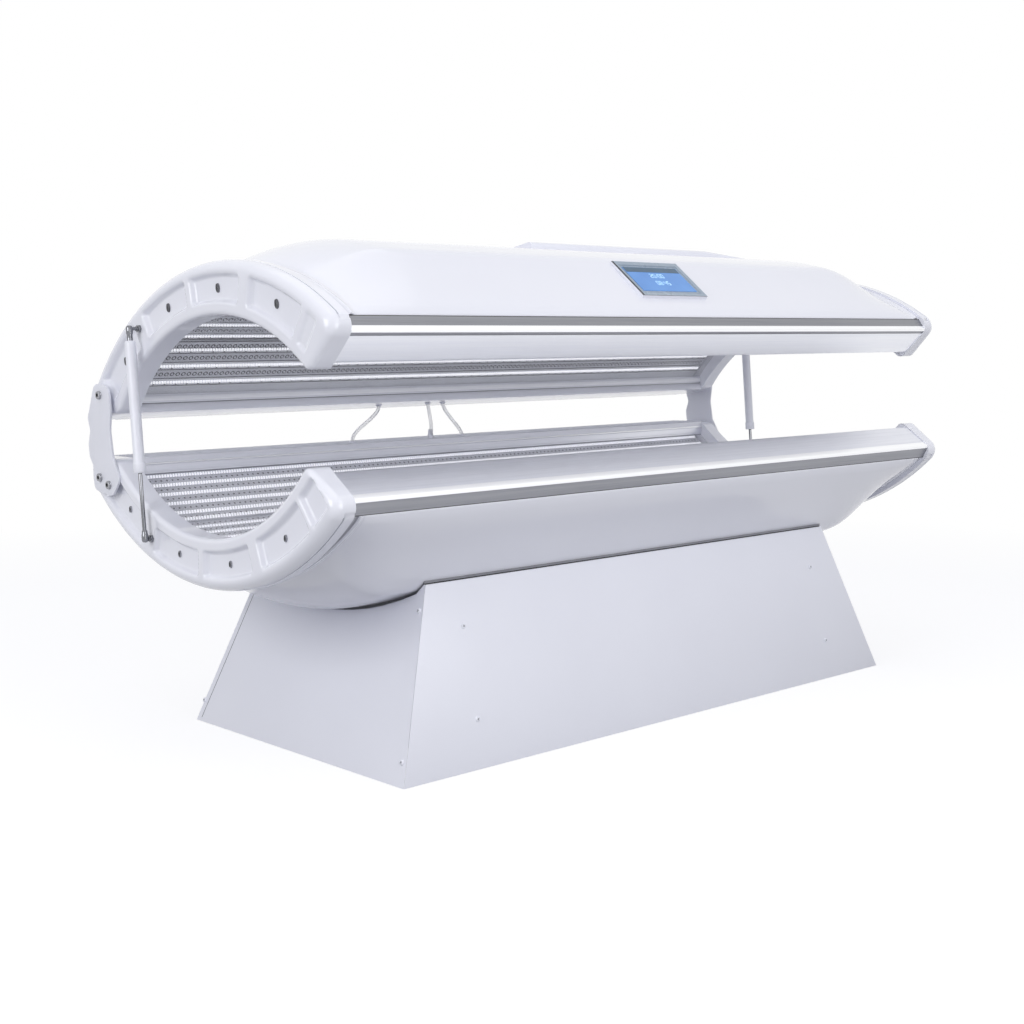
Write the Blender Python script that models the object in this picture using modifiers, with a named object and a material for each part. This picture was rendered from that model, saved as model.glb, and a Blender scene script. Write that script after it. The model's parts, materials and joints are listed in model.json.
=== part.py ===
import math

import bmesh
import bpy
from mathutils import Matrix, Vector

OBJECT_NAME = "collagen_light_therapy_bed"

# All sizes are in metres and degrees. X runs along the bed, -Y is the open front, Z is up.
FIT = 0.0003

# Base box
BASE_LENGTH = 1.548
BASE_WIDTH = 0.713
BASE_TOP_LENGTH = 1.29
BASE_TOP_WIDTH = 0.537
BASE_HEIGHT = 0.3586
BASE_SHIFT = -0.0235
PANEL_SHEET = 0.003
BULKHEAD_SPACING = 1.14
BULKHEAD_THICKNESS = 0.03
BULKHEAD_DROP = 0.012
FLOOR_PAN_WIDTH = 0.32
FLOOR_PAN_THICKNESS = 0.02
NOTCH_GAP = 0.007

# Bed and canopy halves, drawn as the lower half
LENGTH = 1.92
CAP_DEPTH = 0.048
CAP_DROP = 0.0096
CAP_RADIUS = 0.596
CAP_RING = 0.101
CAP_ROUND = 0.008
LIP_STEP = 0.1495
LIP_SHIFT = 0.002
BACK_ANGLE = 45.97
BACK_WALL = 0.051
NOSE_RADIUS = 0.034
CORNER_RADIUS = 0.012
END_SLANT = 34.7
POCKET_ANGLES = (31.0, 9.8, -9.2, -29.6)
POCKET_SPAN = 16.0
TIP_POCKET_ANGLE = -41.5
TIP_POCKET_SPAN = 4.0
POCKET_OUTER_RIM = 0.027
POCKET_INNER_RIM = 0.026
POCKET_DEPTH = 0.014
SHELL_INSET = 0.008
SHELL_WALL = 0.004
BED_BULGE = 0.062
BED_CREASE_ANGLE = 24.5
CANOPY_BULGE = 0.046
CANOPY_CREASE_ANGLE = 27.2
SHELL_RAMP = 0.18
FRONT_ANGLE = 44.14
RAIL_NOSE_REACH = 0.0149
RAIL_NOSE_RISE = 0.0301
RAIL_NOSE_RADIUS = 0.008
RAIL_INSET = 0.009
RAIL_STEP = 0.022
RAIL_LEG = 0.016
RAIL_SEAT = 0.006
REAR_LEG = 0.05
REAR_FLANGE = 0.02
LIP_STRIP = 0.017
ACRYLIC_RING = 0.065
ACRYLIC_STEP = 0.103
ACRYLIC_SHIFT = -0.016
ACRYLIC_SHEET = 0.004
TRAY_GAP = 0.0185
TRAY_SHEET = 0.0025
BOARD_COUNT = 5
BOARD_SHEET = 0.002
BOARD_MARGIN = 0.004

# Canopy, hinges and gas struts
CANOPY_SHIFT = 0.0033
CANOPY_INSET = 0.008
REAR_GAP = 0.085
OPEN_ANGLE = 11.0
HINGE_INSET = 0.0625
HINGE_RISE = 0.1305
HINGE_BOLTS = ((0.0565, 0.0405), (0.0925, 0.0535))
PLATE_THICKNESS = 0.005
# Corners of the hinge plate, from the pivot, the waist and the two bolts: back, up, rounding
PLATE_EYE_BACK = ((-0.036, 0.02, 0.02), (0.022, 0.024, 0.022), (0.04, -0.02, 0.016))
PLATE_SCALLOP = ((0.05, 0.036, 0.012), (0.04, 0.01, 0.012), (0.049, -0.018, 0.012))
PLATE_HEEL = ((0.043, 0.042, 0.012), (0.028, 0.022, 0.012), (0.027, -0.027, 0.018))
PLATE_TOE = ((-0.012, -0.024, 0.02), (-0.044, 0.014, 0.016), (-0.016, 0.06, 0.012))
PLATE_WAIST = ((-0.04, 0.012, 0.02),)
PLATE_EYE_FRONT = ((-0.042, -0.032, 0.02),)
BOLT_RADIUS = 0.004
BOLT_GRIP = 0.024
BOLT_HEAD_RADIUS = 0.008
BOLT_HEAD = 0.005
BOLT_HEAD_CHAMFER = 0.001
BOLT_SOCKET_RADIUS = 0.003
BOLT_SOCKET_DEPTH = 0.0025
STRUT_OFFSET = 0.0155
LOWER_BALL_ANGLE = 19.3
LOWER_BALL_INSET = 0.052
UPPER_BALL_ANGLE = 20.5
UPPER_BALL_INSET = 0.047
BALL_RADIUS = 0.005
STUD_SHANK_RADIUS = 0.003
STUD_FLANGE_RADIUS = 0.008
STUD_FLANGE = 0.004
EYE_RADIUS = 0.008
EYE_WIDTH = 0.011
EYE_OVERLAP = 0.0016
CYLINDER_LENGTH = 0.286
CYLINDER_RADIUS = 0.011
CYLINDER_BORE = 0.0082
CYLINDER_NECK = 0.024
CYLINDER_NECK_RADIUS = 0.006
COLLAR_LENGTH = 0.02
COLLAR_RADIUS = 0.0125
ROD_RADIUS = 0.004
ROD_TIP = 0.118
ROD_FITTING = 0.0176
ROD_FITTING_RADIUS = 0.0056

# Top cover, fans and screen
COVER_START = -0.11
COVER_END = 0.69
COVER_FRONT = -0.09
COVER_DEPTH = 0.31
COVER_RISE = 0.015
COVER_TAPER = 0.15
COVER_DROP = 0.008
COVER_WALL = 0.003
COVER_ROUND = 0.01
FAN_SIZE = 0.08
FAN_HEIGHT = 0.02
FAN_SPACING = 0.3
FAN_SETBACK = 0.26
FAN_BORE = 0.0375
FAN_HUB = 0.0165
FAN_SPOKE = 0.003
BLADE_COUNT = 5
BLADE_REACH = 0.0345
VENT_COUNT = 7
VENT_PITCH = 0.011
VENT_WIDTH = 0.005
SCREEN_X = 0.0112
SCREEN_RISE = 0.0571
SCREEN_WIDTH = 0.21
SCREEN_HEIGHT = 0.119
SCREEN_DEPTH = 0.011
SCREEN_TILT = 2.9
SCREEN_BORDER = 0.018
SCREEN_RECESS = 0.0015
CONTROL_BOARD = (0.15, 0.08, 0.014)

# Power supply, inlet and switch
SUPPLY_SIZE = (0.34, 0.22, 0.085)
INLET_X = -0.4
INLET_RISE = 0.09
INLET_FLANGE = (0.075, 0.034, 0.003)
INLET_BODY = (0.066, 0.026, 0.03)
SOCKET_SIZE = (0.028, 0.02, 0.018)
SOCKET_OFFSET = 0.016
ROCKER_SIZE = (0.02, 0.012, 0.009)
ROCKER_OFFSET = -0.018
ROCKER_PIVOT = 0.003
ROCKER_TILT = 8.0
ROCKER_SWING = 0.002
ROCKER_DEPTH = 0.013

# Cables across the rear gap: foot x, head x, sideways sag
CABLE_RADIUS = 0.0042
CABLE_SETBACK = 0.042
CABLE_STIFF_SHARE = 0.35
CABLE_ROUTES = ((-0.315, -0.24, 0.012), (-0.075, -0.088, -0.01), (0.03, -0.04, 0.014))

# Places worked out from the sizes
half_length = LENGTH / 2
cap_bottom = BASE_HEIGHT - CAP_DROP
cap_centre = cap_bottom + CAP_RADIUS
lip_radius = CAP_RADIUS - LIP_STEP
lip_centre = cap_bottom + CAP_RING + lip_radius
acrylic_radius = CAP_RADIUS - ACRYLIC_STEP
acrylic_centre = cap_bottom + ACRYLIC_RING + acrylic_radius
tray_radius = acrylic_radius + ACRYLIC_SHEET + TRAY_GAP
end_radius = CAP_RADIUS - SHELL_INSET
half_width = CAP_RADIUS * math.sin(math.radians(BACK_ANGLE))
back_y = half_width - SHELL_INSET
rear_edge = cap_centre - CAP_RADIUS * math.cos(math.radians(BACK_ANGLE)) + BACK_WALL
foot = Vector((
    -end_radius * math.sin(math.radians(FRONT_ANGLE)),
    cap_centre - end_radius * math.cos(math.radians(FRONT_ANGLE)),
))
rail_bottom = foot.y + RAIL_STEP
wall_reach = math.sqrt(acrylic_radius ** 2 - (acrylic_centre - rail_bottom) ** 2)
front_wall = ACRYLIC_SHIFT - wall_reach
rear_wall = ACRYLIC_SHIFT + wall_reach
rail_nose = foot + Vector((-RAIL_NOSE_REACH, RAIL_NOSE_RISE))
slant = Vector((math.cos(math.radians(END_SLANT)), math.sin(math.radians(END_SLANT))))
mirror = rear_edge + REAR_GAP / 2
hinge = Vector((half_width - HINGE_INSET, rear_edge + HINGE_RISE))
end_names = (("left", -1), ("right", 1))


class Half:
    def __init__(self, name, upper, face, bulge, crease_angle):
        self.name = name
        self.upper = upper
        self.face = face
        self.inner = face - CAP_DEPTH
        self.bottom = cap_bottom - bulge
        self.mid_radius = CAP_RADIUS + bulge
        self.crease_y = self.mid_radius * math.sin(math.radians(crease_angle))
        self.parent = None

    def at(self, y, z):
        if self.upper:
            return Vector((y + CANOPY_SHIFT - hinge.x, 2 * mirror - z - hinge.y))
        return Vector((y, z))


bed = Half("bed", False, half_length, BED_BULGE, BED_CREASE_ANGLE)
canopy = Half("canopy", True, half_length - CANOPY_INSET, CANOPY_BULGE, CANOPY_CREASE_ANGLE)


def polar(radius, angle):
    turn = math.radians(angle)
    return Vector((radius * math.sin(turn), cap_centre - radius * math.cos(turn)))


def opened(point):
    turn = math.radians(-OPEN_ANGLE)
    away = Matrix.Rotation(turn, 2) @ point
    return hinge + away


def clear_scene():
    for old in list(bpy.data.objects):
        bpy.data.objects.remove(old, do_unlink=True)


def new_collection(name):
    group = bpy.data.collections.new(name)
    bpy.context.scene.collection.children.link(group)
    return group


def material(name, colour, roughness, metallic=0.0, alpha=1.0):
    made = bpy.data.materials.new(name)
    made.use_nodes = True
    shader = made.node_tree.nodes["Principled BSDF"]
    shader.inputs["Base Color"].default_value = (*colour, 1.0)
    shader.inputs["Roughness"].default_value = roughness
    shader.inputs["Metallic"].default_value = metallic
    shader.inputs["Alpha"].default_value = alpha
    return made


clear_scene()
parts = new_collection(OBJECT_NAME)
cutters = new_collection("cutters")
gloss_white = material("gloss_white", (0.86, 0.87, 0.92), 0.18)
powder_white = material("powder_white", (0.84, 0.85, 0.9), 0.4)
frame_board = material("frame_board", (0.8, 0.81, 0.85), 0.5)
aluminium = material("aluminium", (0.66, 0.67, 0.7), 0.35, 1.0)
steel = material("steel", (0.6, 0.6, 0.62), 0.25, 1.0)
acrylic = material("acrylic", (0.9, 0.92, 0.95), 0.08, 0.0, 0.35)
board_silver = material("board_silver", (0.7, 0.71, 0.74), 0.4)
screen_blue = material("screen_blue", (0.2, 0.42, 0.72), 0.12)
bezel_grey = material("bezel_grey", (0.35, 0.42, 0.52), 0.3)
dark_plastic = material("dark_plastic", (0.05, 0.05, 0.06), 0.5)
circuit_green = material("circuit_green", (0.05, 0.2, 0.12), 0.5)
cable_white = material("cable_white", (0.88, 0.88, 0.9), 0.45)


def keep(thing, paint, half=bed, smooth=False):
    parts.objects.link(thing)
    thing.data.materials.append(paint)
    thing.parent = half.parent
    if smooth:
        thing.data.shade_smooth()
        thing.data.set_sharp_from_angle(angle=math.radians(35))
    return thing


def as_cutter(thing, half=bed):
    cutters.objects.link(thing)
    thing.parent = half.parent
    thing.hide_render = True
    thing.display_type = "WIRE"
    return thing


def join(thing, cutter, operation):
    step = thing.modifiers.new(operation.lower(), "BOOLEAN")
    step.operation = operation
    step.solver = "EXACT"
    step.object = cutter


def round_edges(thing, width, segments, angle=40):
    step = thing.modifiers.new("round", "BEVEL")
    step.width = width
    step.segments = segments
    step.limit_method = "ANGLE"
    step.angle_limit = math.radians(angle)


def rounded(corners):
    points = []
    count = len(corners)
    for i, (here, radius) in enumerate(corners):
        if not radius:
            points.append(here)
            continue
        before = (corners[i - 1][0] - here).normalized()
        after = (corners[(i + 1) % count][0] - here).normalized()
        half_turn = before.angle(after) / 2
        reach = radius / math.tan(half_turn)
        middle = here + (before + after).normalized() * radius / math.sin(half_turn)
        start = here + before * reach - middle
        end = here + after * reach - middle
        sweep = start.angle_signed(end)
        steps = max(2, round(abs(math.degrees(sweep)) / 18))
        for step in range(steps + 1):
            points.append(middle + Matrix.Rotation(-sweep * step / steps, 2) @ start)
    return points


def line_meets_circle(start, direction, centre, radius, far):
    offset = start - centre
    along = offset.dot(direction)
    root = math.sqrt(along ** 2 - offset.length_squared + radius ** 2)
    return start + direction * (-along + (root if far else -root))


# A flat outline in the YZ plane, thickened along X
def outline(name, loops, x_from, x_to):
    curve = bpy.data.curves.new(name, "CURVE")
    curve.dimensions = "2D"
    curve.fill_mode = "BOTH"
    curve.extrude = abs(x_to - x_from) / 2
    for loop in loops:
        spline = curve.splines.new("POLY")
        spline.points.add(len(loop) - 1)
        spline.use_cyclic_u = True
        for knot, point in zip(spline.points, loop):
            knot.co = (point.x, point.y, 0, 1)
    thing = bpy.data.objects.new(name, curve)
    thing.location.x = (x_from + x_to) / 2
    thing.rotation_euler = (math.pi / 2, 0, math.pi / 2)
    return thing


def as_mesh(curve_thing):
    scene = bpy.context.scene.collection
    scene.objects.link(curve_thing)
    bpy.context.view_layer.update()
    graph = bpy.context.evaluated_depsgraph_get()
    mesh = bpy.data.meshes.new_from_object(curve_thing.evaluated_get(graph))
    name = curve_thing.name
    place = curve_thing.matrix_world.copy()
    bpy.data.objects.remove(curve_thing, do_unlink=True)
    shape = bmesh.new()
    shape.from_mesh(mesh)
    bmesh.ops.remove_doubles(shape, verts=shape.verts, dist=1e-6)
    bmesh.ops.dissolve_limit(shape, angle_limit=0.01, verts=shape.verts, edges=shape.edges)
    bmesh.ops.recalc_face_normals(shape, faces=shape.faces)
    shape.to_mesh(mesh)
    shape.free()
    thing = bpy.data.objects.new(name, mesh)
    thing.matrix_world = place
    return thing


def from_bmesh(name, shape):
    mesh = bpy.data.meshes.new(name)
    shape.to_mesh(mesh)
    shape.free()
    return bpy.data.objects.new(name, mesh)


def box(name, size, centre, turn=(0, 0, 0)):
    shape = bmesh.new()
    bmesh.ops.create_cube(shape, size=1.0, matrix=Matrix.Diagonal((*size, 1.0)))
    thing = from_bmesh(name, shape)
    thing.location = centre
    thing.rotation_euler = turn
    return thing


def rod_along_x(name, radius, x_from, x_to, centre, segments=16):
    shape = bmesh.new()
    bmesh.ops.create_cone(
        shape, cap_ends=True, segments=segments, radius1=radius, radius2=radius, depth=abs(x_to - x_from)
    )
    thing = from_bmesh(name, shape)
    thing.location = ((x_from + x_to) / 2, centre.x, centre.y)
    thing.rotation_euler = (0, math.pi / 2, 0)
    return thing


# A turned shape about local Z; the profile runs down its outer side
def turned(name, profile, steps=16):
    shape = bmesh.new()
    knots = [shape.verts.new((radius, 0, height)) for radius, height in profile]
    for upper, lower in zip(knots, knots[1:]):
        shape.edges.new((upper, lower))
    thing = from_bmesh(name, shape)
    spin = thing.modifiers.new("spin", "SCREW")
    spin.steps = steps
    spin.render_steps = steps
    spin.use_merge_vertices = True
    spin.merge_threshold = 0.00001
    return thing


def shell_height(half, y, share):
    end_z = cap_centre - math.sqrt(end_radius ** 2 - y ** 2)
    crease_z = cap_centre - math.sqrt(half.mid_radius ** 2 - half.crease_y ** 2)
    if y < -half.crease_y:
        blend = (y + half.crease_y) / (foot.x + half.crease_y)
        mid_z = crease_z + blend * (foot.y - crease_z)
    elif y > half.crease_y:
        back_z = cap_centre - math.sqrt(end_radius ** 2 - back_y ** 2)
        blend = (y - half.crease_y) / (back_y - half.crease_y)
        mid_z = crease_z + blend * (back_z - crease_z)
    else:
        mid_z = cap_centre - math.sqrt(half.mid_radius ** 2 - y ** 2)
    return end_z + share * (mid_z - end_z)


def shell_stops(half, chord_steps=3, arc_steps=12):
    turn = half.crease_y
    front = [foot.x + (-turn - foot.x) * i / chord_steps for i in range(chord_steps)]
    belly = [-turn + 2 * turn * i / arc_steps for i in range(arc_steps)]
    back = [turn + (back_y - turn) * i / chord_steps for i in range(chord_steps + 1)]
    return front + belly + back


def shell_path(share, half):
    path = [Vector((y, shell_height(half, y, share))) for y in shell_stops(half)]
    path.append(Vector((back_y, rear_edge)))
    if half.upper:
        path.append(Vector((rear_wall, rear_edge)))
        path.append(Vector((rear_wall, rear_edge - LIP_STRIP)))
    return [half.at(*point) for point in path]


def make_shell(half):
    ramp = (0.0, 0.12, 0.26, 0.42, 0.6, 0.8, 1.0)
    reach = half.inner - FIT
    stations = [(-reach + u * SHELL_RAMP, 1 - (1 - u) ** 2) for u in ramp]
    stations += [(-x, share) for x, share in reversed(stations)]
    shape = bmesh.new()
    rows = []
    for x, share in stations:
        rows.append([shape.verts.new((x, *point)) for point in shell_path(share, half)])
    for row, following in zip(rows, rows[1:]):
        for i in range(len(row) - 1):
            quad = (row[i], row[i + 1], following[i + 1], following[i])
            shape.faces.new(reversed(quad) if half.upper else quad)
    thing = from_bmesh(half.name + "_shell", shape)
    wall = thing.modifiers.new("wall", "SOLIDIFY")
    wall.thickness = SHELL_WALL
    wall.offset = -1
    wall.use_even_offset = True
    return keep(thing, gloss_white, half, smooth=True)


def cap_loop(half):
    lift = Vector((-slant.y, slant.x)) * RAIL_INSET
    lip = Vector((LIP_SHIFT, lip_centre))
    middle = Vector((0, cap_centre))
    ridge = line_meets_circle(rail_nose + lift, slant, lip, lip_radius, False)
    nose = line_meets_circle(rail_nose + lift, slant, middle, CAP_RADIUS, False)
    nose_angle = math.degrees(math.atan2(nose.x, cap_centre - nose.y))
    corners = [(Vector((half_width, rear_edge)), CORNER_RADIUS)]
    arc_steps = 18
    for i in range(arc_steps):
        angle = BACK_ANGLE + (nose_angle - BACK_ANGLE) * i / arc_steps
        corners.append((polar(CAP_RADIUS, angle), 0))
    corners.append((nose, NOSE_RADIUS))
    corners.append((ridge, CORNER_RADIUS))
    rear_reach = LIP_SHIFT + math.sqrt(lip_radius ** 2 - (lip_centre - rear_edge) ** 2)
    start = math.atan2(ridge.x - LIP_SHIFT, lip_centre - ridge.y)
    finish = math.atan2(rear_reach - LIP_SHIFT, lip_centre - rear_edge)
    for i in range(1, arc_steps):
        angle = start + (finish - start) * i / arc_steps
        corners.append((lip + lip_radius * Vector((math.sin(angle), -math.cos(angle))), 0))
    corners.append((Vector((rear_reach, rear_edge)), CORNER_RADIUS))
    return [half.at(*point) for point in rounded(corners)]


def pocket_loop(half, angle, span):
    steps = 4
    lip = Vector((LIP_SHIFT, lip_centre))
    middle = Vector((0, cap_centre))
    angles = [angle - span / 2 + span * i / steps for i in range(steps + 1)]
    outer = [polar(CAP_RADIUS - POCKET_OUTER_RIM, a) for a in angles]
    inner = []
    for a in reversed(angles):
        outward = (polar(1.0, a) - middle).normalized()
        inner.append(line_meets_circle(middle, outward, lip, lip_radius + POCKET_INNER_RIM, True))
    return [half.at(*point) for point in outer + inner]


def make_cap(half, end, side):
    name = f"{half.name}_end_cap_{end}"
    thing = as_mesh(outline(name, [cap_loop(half)], side * half.inner, side * half.face))
    round_edges(thing, CAP_ROUND, 2)
    loops = [pocket_loop(half, angle, POCKET_SPAN) for angle in POCKET_ANGLES]
    loops.append(pocket_loop(half, TIP_POCKET_ANGLE, TIP_POCKET_SPAN))
    floor = side * (half.face - POCKET_DEPTH)
    over = side * (half.face + POCKET_DEPTH)
    pockets = as_mesh(outline(name + "_pockets", loops, floor, over))
    join(thing, as_cutter(pockets, half), "DIFFERENCE")
    bolts = [hinge - hinge] if half.upper else hinge_bolt_places()
    for number, place in enumerate(bolts):
        drill = rod_along_x(
            f"{name}_drill_{number}", BOLT_RADIUS + FIT, side * (half.face - BOLT_GRIP), over, place
        )
        join(thing, as_cutter(drill, half), "DIFFERENCE")
    return keep(thing, gloss_white, half, smooth=True)


def make_front_rail(half):
    inward = Vector((math.sqrt(0.5), math.sqrt(0.5)))
    seat = foot + FIT * Vector((-inward.x, inward.y))
    ridge = rail_nose + slant * ((front_wall - rail_nose.x) / slant.x)
    corners = [
        (seat, 0),
        (rail_nose, RAIL_NOSE_RADIUS),
        (ridge, RAIL_NOSE_RADIUS / 2),
        (Vector((front_wall, rail_bottom)), 0),
        (Vector((foot.x + RAIL_LEG, rail_bottom)), 0),
        (seat + inward * RAIL_SEAT, 0),
    ]
    loop = [half.at(*point) for point in rounded(corners)]
    reach = half.inner - FIT
    return keep(outline(half.name + "_front_rail", [loop], -reach, reach), aluminium, half)


def make_rear_rail(half):
    leg = rear_wall + REAR_LEG
    if half.upper:
        top = rear_edge - LIP_STRIP - FIT
        corners = [(rear_wall, rail_bottom), (rear_wall, top), (leg, top), (leg, rail_bottom)]
    else:
        back = back_y - SHELL_WALL - FIT
        under = rear_edge - REAR_FLANGE
        corners = [
            (rear_wall, rail_bottom),
            (rear_wall, rear_edge),
            (back, rear_edge),
            (back, under),
            (leg, under),
            (leg, rail_bottom),
        ]
    loop = [half.at(*corner) for corner in corners]
    reach = half.inner - FIT
    return keep(outline(half.name + "_rear_rail", [loop], -reach, reach), aluminium, half)


def lip_points(radius, limits, steps):
    points = []
    for i in range(steps + 1):
        angle = limits[0] + (limits[1] - limits[0]) * i / steps
        y = ACRYLIC_SHIFT + radius * math.sin(angle)
        points.append(Vector((y, acrylic_centre - radius * math.cos(angle))))
    return points


def lip_limits(radius):
    turn = math.acos((acrylic_centre - rail_bottom + FIT) / radius)
    return (-turn, turn)


def make_curved_sheet(half, name, radius, sheet, steps, paint):
    limits = lip_limits(radius)
    points = lip_points(radius, limits, steps) + lip_points(radius + sheet, limits, steps)[::-1]
    loop = [half.at(*point) for point in points]
    reach = half.inner - FIT
    return keep(outline(f"{half.name}_{name}", [loop], -reach, reach), paint, half)


def make_boards(half):
    corners = lip_points(tray_radius, lip_limits(tray_radius), BOARD_COUNT)
    for number, (start, finish) in enumerate(zip(corners, corners[1:]), 1):
        start = half.at(*start)
        finish = half.at(*finish)
        along = finish - start
        away = Vector((-along.y, along.x)).normalized() * (-1 if half.upper else 1)
        middle = (start + finish) / 2 + away * (FIT + BOARD_SHEET / 2)
        size = (2 * (half.inner - BOARD_MARGIN), along.length - 2 * BOARD_MARGIN, BOARD_SHEET)
        turn = (math.atan2(along.y, along.x), 0, 0)
        board = box(f"{half.name}_led_board_{number}", size, (0, *middle), turn)
        keep(board, board_silver, half)


def make_half(half):
    make_shell(half)
    for end, side in end_names:
        make_cap(half, end, side)
    make_front_rail(half)
    make_rear_rail(half)
    make_curved_sheet(half, "acrylic", acrylic_radius, ACRYLIC_SHEET, 16, acrylic)
    make_curved_sheet(half, "led_tray", tray_radius, TRAY_SHEET, BOARD_COUNT, aluminium)
    make_boards(half)


# One side of the base box: its long edges lie on the outer box, its short edges are mitred
def base_panel(name, along_x, side):
    shape = bmesh.new()
    bmesh.ops.create_cube(shape, size=2.0)
    for vert in shape.verts:
        high = vert.co.z > 0
        long_half = (BASE_TOP_LENGTH if high else BASE_LENGTH) / 2
        wide_half = (BASE_TOP_WIDTH if high else BASE_WIDTH) / 2
        inward = PANEL_SHEET if vert.co.y * side < 0 else 0
        mitre = FIT if along_x else 0
        x = long_half - inward - mitre
        y = wide_half - inward - (FIT - mitre)
        sign = math.copysign(1, vert.co.x)
        vert.co.x = sign * x if along_x else side * x
        vert.co.y = BASE_SHIFT + (side * y if along_x else sign * y)
        vert.co.z = BASE_HEIGHT if high else 0
    bmesh.ops.recalc_face_normals(shape, faces=shape.faces)
    return keep(from_bmesh(name, shape), powder_white)


def belly_loop(drop):
    contour = [Vector((y, shell_height(bed, y, 1.0) - drop)) for y in shell_stops(bed)]
    return contour + [Vector((back_y, rear_edge)), Vector((foot.x, rear_edge))]


def make_base():
    panels = {
        "front": base_panel("base_front_panel", True, -1),
        "rear": base_panel("base_rear_panel", True, 1),
        "left": base_panel("base_left_panel", False, -1),
        "right": base_panel("base_right_panel", False, 1),
    }
    reach = BASE_LENGTH / 2
    notch = as_mesh(outline("base_notch", [belly_loop(NOTCH_GAP)], -reach, reach))
    as_cutter(notch)
    for name in ("rear", "left", "right"):
        join(panels[name], notch, "DIFFERENCE")
    make_base_frame()
    make_inlet(panels["rear"])


def make_base_frame():
    span = BULKHEAD_SPACING + BULKHEAD_THICKNESS
    frame = box(
        "base_frame", (span, FLOOR_PAN_WIDTH, FLOOR_PAN_THICKNESS), (0, BASE_SHIFT, FLOOR_PAN_THICKNESS / 2)
    )
    top = BASE_HEIGHT - BULKHEAD_DROP
    foot_half = BASE_WIDTH / 2 - PANEL_SHEET - 2 * FIT
    taper = (BASE_WIDTH - BASE_TOP_WIDTH) / 2 * top / BASE_HEIGHT
    head_half = foot_half - taper
    block = [
        Vector((BASE_SHIFT - foot_half, 0)),
        Vector((BASE_SHIFT + foot_half, 0)),
        Vector((BASE_SHIFT + head_half, top)),
        Vector((BASE_SHIFT - head_half, top)),
    ]
    contour = belly_loop(FIT)
    for end, side in end_names:
        near = side * (BULKHEAD_SPACING - BULKHEAD_THICKNESS) / 2
        far = side * span / 2
        bulkhead = as_mesh(outline(f"bulkhead_{end}", [block], near, far))
        cradle = as_mesh(outline(f"cradle_{end}", [contour], near - side * FIT, far + side * FIT))
        join(bulkhead, as_cutter(cradle), "DIFFERENCE")
        join(frame, as_cutter(bulkhead), "UNION")
    keep(frame, frame_board)


# A frame on the sloping rear panel: local X runs along it, local Y up it, local Z out of it
def rear_panel_place(x, rise, out):
    lean = math.atan2((BASE_WIDTH - BASE_TOP_WIDTH) / 2, BASE_HEIGHT)
    origin = Vector((x, BASE_SHIFT + BASE_WIDTH / 2, 0))
    up = Vector((0, -math.sin(lean), math.cos(lean)))
    outward = Vector((0, math.cos(lean), math.sin(lean)))
    return origin + up * rise + outward * out, (math.pi / 2 - lean, 0, math.pi)


def on_rear_panel(name, size, x, rise, out):
    place, turn = rear_panel_place(x, rise, out)
    return box(name, size, place, turn)


def make_inlet(panel):
    flange_out = FIT + INLET_FLANGE[2]
    inlet = on_rear_panel("power_inlet", INLET_FLANGE, INLET_X, INLET_RISE, FIT + INLET_FLANGE[2] / 2)
    body_out = FIT + INLET_FLANGE[2] / 2 - INLET_BODY[2] / 2
    body = on_rear_panel("inlet_body", INLET_BODY, INLET_X, INLET_RISE, body_out)
    join(inlet, as_cutter(body), "UNION")
    hole_size = (INLET_BODY[0] + 2 * FIT, INLET_BODY[1] + 2 * FIT, 2 * INLET_BODY[2])
    hole = on_rear_panel("inlet_hole", hole_size, INLET_X, INLET_RISE, 0)
    join(panel, as_cutter(hole), "DIFFERENCE")
    socket_size = (SOCKET_SIZE[0], SOCKET_SIZE[1], 2 * SOCKET_SIZE[2])
    socket = on_rear_panel("inlet_socket", socket_size, INLET_X + SOCKET_OFFSET, INLET_RISE, flange_out)
    join(inlet, as_cutter(socket), "DIFFERENCE")
    well_size = (ROCKER_SIZE[0] + 2 * FIT, ROCKER_SIZE[1] + 2 * ROCKER_SWING, 2 * ROCKER_DEPTH)
    well = on_rear_panel("rocker_well", well_size, INLET_X + ROCKER_OFFSET, INLET_RISE, flange_out)
    join(inlet, as_cutter(well), "DIFFERENCE")
    keep(inlet, dark_plastic)
    rocker = box("power_rocker", ROCKER_SIZE, (0, 0, 0))
    rocker.location, rocker.rotation_euler = rear_panel_place(
        INLET_X + ROCKER_OFFSET, INLET_RISE, flange_out - ROCKER_PIVOT
    )
    rocker.rotation_euler.x -= math.radians(ROCKER_TILT)
    keep(rocker, dark_plastic)
    print("power_rocker axis point", rocker.location[:])


def make_supply():
    height = FLOOR_PAN_THICKNESS + FIT + SUPPLY_SIZE[2] / 2
    supply = box("power_supply", SUPPLY_SIZE, (0, BASE_SHIFT, height))
    keep(supply, aluminium)


def hinge_bolt_places():
    return [Vector((half_width - inset, rear_edge - drop)) for inset, drop in HINGE_BOLTS]


def ring(centre, radius, count=12):
    turns = [2 * math.pi * i / count for i in range(count)]
    return [centre + radius * Vector((math.cos(turn), math.sin(turn))) for turn in turns]


# The hinge plate: a round eye at the pivot, a waisted arm with a scalloped back and a rounded heel
def plate_loop():
    near_bolt, far_bolt = hinge_bolt_places()
    waist = (hinge + near_bolt) / 2
    stretches = (
        (hinge, PLATE_EYE_BACK),
        (waist, PLATE_SCALLOP),
        (near_bolt, PLATE_HEEL),
        (far_bolt, PLATE_TOE),
        (waist, PLATE_WAIST),
        (hinge, PLATE_EYE_FRONT),
    )
    corners = []
    for middle, offsets in stretches:
        corners += [(middle + Vector((back, up)), rounding) for back, up, rounding in offsets]
    return rounded(corners)


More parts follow.
